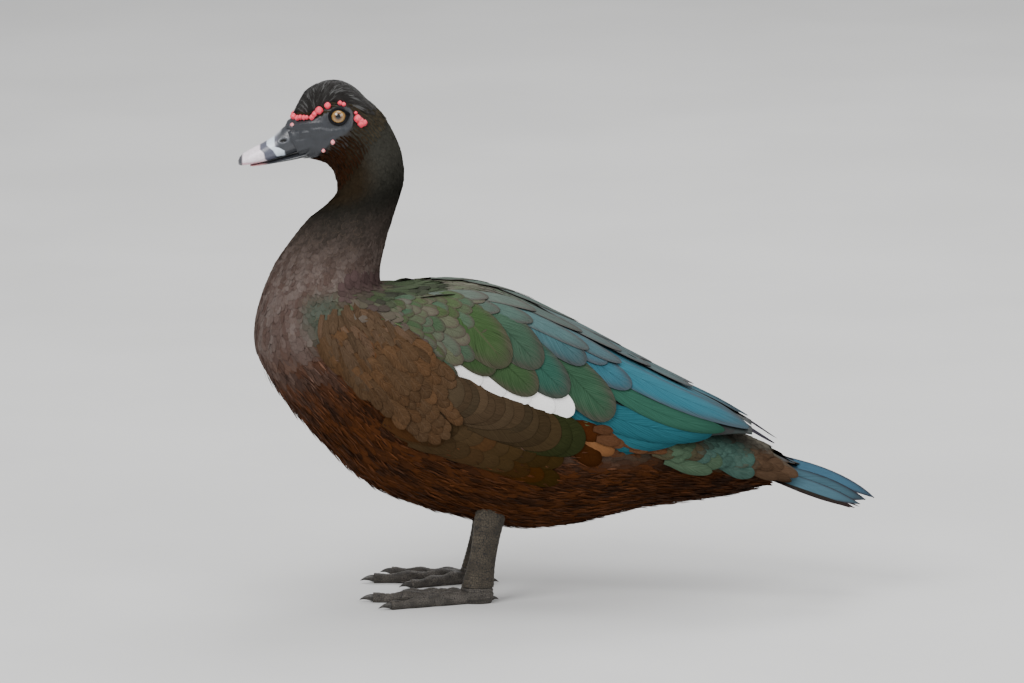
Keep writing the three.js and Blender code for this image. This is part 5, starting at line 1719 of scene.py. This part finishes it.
class DUCK_OT_tail(DuckOperator, bpy.types.Operator):
    """Tail fan with its upper and lower coverts"""
    bl_idname = "duck.tail"
    bl_label = "Tail"

    def make(self, settings):
        material = feather_material("tail_feather", 0.12, 0.45, 0.0, 14.0, streak=0.4, cracks=0.5, dull=0.8,
                                    line=0.4)
        fan = [self.vanes(*group) for group in TAIL_FAN]
        share, out, tip_share, tip_out, half, lift, drop = np.array(ROOT_COVERTS, float).T
        pieces = feather_pieces("tail_feathers", fan, material, "tail_feathers", settings.seed)
        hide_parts("tail")
        soft = feather_material("tail_covert", 0.04, 0.55, 0.05, 3.0, streak=0.8, cracks=0.7, dull=0.8)
        rng = np.random.default_rng(settings.seed + 80)
        batches = [Vanes(
            TAIL_SURFACE, share, out * MM, tip_share, tip_out * MM, half * MM,
            blend(GREY_BROWN * 0.8, SLATE_BLUE, rng.random(len(share))), GREY_BROWN * 0.4, lift=lift * MM,
            rise=-drop * MM, rows=11, columns=7,
            shape=(0.7, 0.5, 2.0))]
        for side in SIDES.values():
            a, b, a_tip, b_tip, half = np.array(TAIL_COVERTS).T
            base = rump_colours(BODY_SURFACE.point((a + a_tip) / 2, side * b), b)
            batches.append(Vanes(
                BODY_SURFACE, a, side * b, a_tip, side * b_tip, half * MM, base, base * 0.85,
                lift=(0.2 + 1.2 * (28 - a) / 4) * MM,
                rise=0.0022 - 0.0022 * smooth(a_tip, 26.5, 28) * (1 + 3 * (b < 0.8)),
                rows=11, columns=7, roll=rng.normal(0, 0.3 * MM, len(a)),
                shape=(0.45, 0.55, 2.0)))
            a, b = streamline_roots(60, 22.6, 26.6, lambda p: 1.3, rng)
            keep = (b * side > 0) & (np.abs(b) < 1.42 - 0.05 * np.abs(a - 24))
            a, b = a[keep], b[keep]
            n = len(a)
            base = rump_colours(BODY_SURFACE.point(a + 0.6, b), np.abs(b))
            base = base * rng.uniform(0.88, 1.12, n)[:, None]
            batches.append(body_vanes(
                a, b, rng.uniform(0.017, 0.024, n), rng.uniform(0.0042, 0.006, n), base, base * 0.8, rng,
                lift=0.0012 + 0.0003 * (28 - a), rise=0.0012 - 0.0012 * smooth(a, 25, 27), thickness=THIN,
                rows=8, columns=7, shape=(0.6, 0.5, 2.0)))
        feather_pieces("tail_coverts", batches, soft, "tail_feathers", settings.seed)

    def vanes(self, rows, base, curl):
        """Feathers of the fan from rows of its table, with their colour and curl."""
        share, out, tip_share, tip_out, half, lift, roll = np.array(rows, float).T
        return Vanes(TAIL_SURFACE, share, out * MM, tip_share, tip_out * MM, half * MM, base, PURPLE_RIM,
                     lift=lift * MM, rise=0.0, curl=curl, roll=roll * MM, thickness=0.5 * MM, camber=0.02,
                     rows=14, columns=7, shape=(0.8, 0.4, 2.2, 0.9))


# Distance of each foot from the middle plane, and where its ankle stands.
STANCE, ANKLE_X, ANKLE_HEIGHT = 52 * MM, -78 * MM, 15 * MM
# Middle and half sizes of the shank at its top and at the foot.
LEG_TOP = {"x": -0.0595, "z": 0.1, "long": 0.014, "wide": 0.009}
LEG_FOOT = {"x": -0.0745, "z": 0.0153, "long": 0.015, "wide": 0.0095}
# Plates down the shank, and the length of one on a toe.
SCUTES, SCUTE_LENGTH = 22, 4.2 * MM
# Toes of the left foot: turn from straight ahead, length, thickness at root and tip.
TOES = {
    "inner": (0.48, 0.068, 0.0075, 0.0042),
    "middle": (0.03, 0.096, 0.008, 0.0046),
    "outer": (-0.42, 0.086, 0.0075, 0.0042),
    "hind": (math.pi - 0.35, 0.017, 0.0052, 0.0032),
}
CLAW_LENGTH = 13 * MM
# How much shorter than the toes the web is midway between them, as a share, and its thickness.
WEB_HOLLOW, WEB_THICKNESS = 0.18, 1.8 * MM


def toe_point(side, toe, out):
    """Points on the ground under a toe, at distances from the ankle."""
    turn = TOES[toe][0] * (1 if side < 0 else -1)
    out = np.asarray(out, float)
    return np.stack([ANKLE_X - out * math.cos(turn), side * STANCE + out * math.sin(turn), 0 * out], -1)


def toe_across(side, toe):
    """Level direction at a right angle to a toe."""
    forward = toe_point(side, toe, 1.0) - toe_point(side, toe, 0.0)
    return np.array([-forward[1], forward[0], 0])


class DUCK_OT_legs(DuckOperator, bpy.types.Operator):
    """Shanks with plates, webbed feet with scutes, and claws"""
    bl_idname = "duck.legs"
    bl_label = "Legs and feet"

    def make(self, settings):
        shank = leg_material("shank", 420.0, (0.045, 0.037, 0.027), (0.085, 0.07, 0.05))
        foot = leg_material("foot_skin", 520.0, (0.05, 0.044, 0.037), (0.11, 0.097, 0.083))
        horn = plain_material("claw_horn", (0.018, 0.016, 0.014), (0.05, 0.044, 0.038), 500.0, 0.3, 0.0002)
        for name, side in SIDES.items():
            points, faces, tint = self.shank(side)
            leg = mesh_object(f"shank_{name}", points, faces, shank, "bare_skin", colours={"Tint": tint})
            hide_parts(f"leg_{name}")
            toes = [self.toe(side, toe) for toe in TOES]
            webs = [self.web(side, "inner", "middle"), self.web(side, "middle", "outer")]
            points, faces = merged([self.ankle(side), *toes, *webs])
            sole = mesh_object(f"webbed_foot_{name}", points, faces, foot, "bare_skin",
                               colours={"Tint": np.ones((len(points), 3))})
            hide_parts(f"foot_{name}")
            points, faces = merged([self.claw(side, toe) for toe in TOES])
            claws = mesh_object(f"claws_{name}", points, faces, horn, "claw_horn")
            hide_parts(*(f"claw_{name}_{toe}" for toe in TOES))

    def shank(self, side):
        """Tube from the belly to the ankle, with a row of plates down its front."""
        t = np.linspace(0, 1.12, 150)[:, None]
        angle = ring_angles(56)
        mix = {key: LEG_FOOT[key] + (LEG_TOP[key] - LEG_FOOT[key]) * t for key in LEG_TOP}
        waist = 1 - 0.16 * np.sin(math.pi * np.clip(t * 1.3, 0, 1))
        plate = (t * SCUTES) % 1
        front = np.maximum(0, -np.cos(angle)) ** 0.7
        step = (0.05 * front + 0.008) * np.clip(np.sin(math.pi * plate) * 3, 0, 1)
        step = step + 0.015 * np.sin(angle * 6 + 40 * t) * np.sin(t * 55 + angle * 3)
        x = mix["x"] + mix["long"] * waist * np.cos(angle) * (1 + step)
        y = side * STANCE + mix["wide"] * waist * np.sin(angle) * (1 + step)
        points, faces = tube(np.stack([x, y, mix["z"] + 0 * x], -1))
        shade = 0.85 + 0.3 * np.clip(np.sin(math.pi * plate) * 2, 0, 1) * front
        return points, faces, tube_values(np.repeat(shade[..., None], 3, -1))

    def toe(self, side, toe):
        """Tube with knuckles and a row of scutes on top, flat where it meets the ground."""
        _, length, root, tip = TOES[toe]
        t = np.linspace(0, 1, 90)[:, None]
        angle = ring_angles(32)
        knuckle = 1 + 0.1 * np.cos(t * 3 * TURN)
        plate = np.clip(np.sin(math.pi * ((t * length / SCUTE_LENGTH) % 1)) * 2.5, 0, 1)
        scute = 0.05 * plate * np.maximum(0, np.cos(angle))
        radius = (root + (tip - root) * t) * knuckle * (1 + scute)
        centre = toe_point(side, toe, t * length)
        points = centre + (radius * np.sin(angle))[..., None] * toe_across(side, toe)
        points[..., 2] = np.maximum(0, radius * 0.75 + radius * np.cos(angle))
        return tube(points)

    def web(self, side, toe, other):
        """Thin skin between two toes, hollowed at its free edge and finely wrinkled."""
        t, u = np.meshgrid(np.linspace(0.05, 1, 48), np.linspace(0, 1, 48), indexing="ij")
        inside = np.sin(math.pi * u)
        hollow = 1 - WEB_HOLLOW * inside
        a = toe_point(side, toe, t * hollow * (TOES[toe][1] - 0.006))
        b = toe_point(side, other, t * hollow * (TOES[other][1] - 0.006))
        points = a + (b - a) * u[..., None]
        wrinkle = 0.22 * MM * np.sin(t * 46 + 3 * np.sin(u * 7)) + 0.2 * MM * np.sin(u * 60 + 4 * t) * t
        points[..., 2] = 3.4 * MM - 1.2 * MM * inside * t + wrinkle * inside
        quads, kept = lens_topology(48, 48)
        inner = points - [0, 0, WEB_THICKNESS]
        joined = np.concatenate([points.reshape(-1, 3), inner[kept]])
        return joined, outward(joined, [quads])

    def ankle(self, side):
        """Swollen joint that the shank stands on."""
        t = np.linspace(0, 1, 30)[:, None]
        angle = ring_angles(48)
        swell = np.interp(t, [0, 0.4, 0.7, 1], [0.92, 1.08, 1.05, 1])
        swell = swell * (1 + 0.02 * np.sin(t * 24 + np.sin(angle * 3)))
        x = LEG_FOOT["x"] - 0.001 + LEG_FOOT["long"] * swell * np.cos(angle)
        y = side * STANCE + LEG_FOOT["wide"] * swell * np.sin(angle)
        return tube(np.stack([x, y, ANKLE_HEIGHT * t + 0 * x], -1))

    def claw(self, side, toe):
        """Curved pointed claw in front of a toe's end."""
        size = 0.6 if toe == "hind" else 1
        _, length, _, tip = TOES[toe]
        t = np.linspace(-0.1, 1, 26)[:, None]
        angle = ring_angles(20)
        reach = np.maximum(t, 0)
        radius = tip * (0.8 - 0.74 * reach ** 1.2)
        height = tip * 0.9 + 0.0012 * np.sin(math.pi * 0.7 * t) - tip * 0.62 * t * t
        centre = toe_point(side, toe, length + t * CLAW_LENGTH * size)
        points = centre + (0.75 * radius * np.sin(angle))[..., None] * toe_across(side, toe)
        points[..., 2] = np.maximum(0.0001, height + radius * np.cos(angle))
        return tube(points)


# Height of the view, then the camera's distance, lens (mm) and the point it looks at.
CAMERA_ELEVATION = math.radians(10)
CAMERA_DISTANCE, CAMERA_LENS = 16.0, 592
CAMERA_AIM = (-0.042, 0, 0.2426)
# Square lamps: name, place, width and power.
LIGHTS = [
    ("key", (-2.2, -2.6, 3.2), 2.2, 150), ("fill", (2.6, -2.4, 2.2), 2.6, 70),
    ("rim", (0.8, 2.8, 3.0), 2.2, 90), ("top", (0, 0, 3.6), 2.4, 60),
]
SKY, SKY_STRENGTH = (0.98, 0.98, 1.0, 1), 0.45


class DUCK_OT_stage(DuckOperator, bpy.types.Operator):
    """Pale floor, soft studio light and the camera"""
    bl_idname = "duck.stage"
    bl_label = "Stage"

    def make(self, settings):
        scene = bpy.context.scene
        self.make_floor(settings.floor_size)
        for name, place, size, power in LIGHTS:
            light = bpy.data.lights.new(name, "AREA")
            light.size, light.energy = size, power
            lamp = bpy.data.objects.new(name, light)
            lamp.location = place
            lamp.rotation_euler = look_angles(np.array(CAMERA_AIM) - np.array(place))
            scene.collection.objects.link(lamp)
        world = bpy.data.worlds.new("studio")
        world.use_nodes = True
        sky = world.node_tree.nodes["Background"].inputs
        sky["Color"].default_value, sky["Strength"].default_value = SKY, SKY_STRENGTH
        scene.world = world
        camera = bpy.data.cameras.new("camera")
        camera.lens, camera.sensor_width, camera.clip_end = CAMERA_LENS, 36, 60
        eye = bpy.data.objects.new("camera", camera)
        back = np.array([0, -math.cos(CAMERA_ELEVATION), math.sin(CAMERA_ELEVATION)])
        eye.location = np.array(CAMERA_AIM) + back * CAMERA_DISTANCE
        eye.rotation_euler = look_angles(-back)
        scene.collection.objects.link(eye)
        scene.camera = eye

    def make_floor(self, size):
        """Wide flat round floor."""
        turn = ring_angles(96)[0]
        points = np.stack([np.cos(turn), np.sin(turn), 0 * turn], -1) * size / 2
        mesh = bpy.data.meshes.new("floor")
        mesh.from_pydata(points.tolist(), [], [list(range(96))])
        grey, paler = (0.62, 0.62, 0.61), (0.66, 0.66, 0.65)
        mesh.materials.append(plain_material("floor", grey, paler, 3.0, 0.6, 0.2 * MM))
        floor = bpy.data.objects.new("floor", mesh)
        bpy.context.scene.collection.objects.link(floor)


def look_angles(direction):
    """Euler angles that point an object's -Z along a direction with +Z up."""
    x, y, z = unit(np.asarray(direction, float))
    return (math.acos(-z), 0, math.atan2(-x, y))


class DUCK_PT_panel(bpy.types.Panel):
    """Buttons for the duck's pieces in the 3D view's sidebar"""
    bl_label = "Duck"
    bl_space_type = "VIEW_3D"
    bl_region_type = "UI"
    bl_category = "Duck"

    def draw(self, context):
        """Lists the settings and one button for each step."""
        for name in ("coat_depth", "seed", "floor_size"):
            self.layout.prop(context.scene.duck, name)
        for step in STEPS:
            self.layout.operator(step.bl_idname)


STEPS = (DUCK_OT_skin, DUCK_OT_eyes, DUCK_OT_caruncles, DUCK_OT_bill, DUCK_OT_crest, DUCK_OT_coat,
         DUCK_OT_wings, DUCK_OT_tail, DUCK_OT_legs, DUCK_OT_stage)
CLASSES = (DuckSettings, *STEPS, DUCK_PT_panel)


def register():
    """Adds the duck's settings, steps and panel to Blender."""
    for made in CLASSES:
        bpy.utils.register_class(made)
    bpy.types.Scene.duck = bpy.props.PointerProperty(type=DuckSettings)


def unregister():
    """Takes the duck's settings, steps and panel out again."""
    del bpy.types.Scene.duck
    for made in reversed(CLASSES):
        bpy.utils.unregister_class(made)


def main():
    """Registers the add-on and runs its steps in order."""
    register()
    for step in STEPS:
        group, name = step.bl_idname.split(".")
        getattr(getattr(bpy.ops, group), name)()


if __name__ == "__main__":
    main()
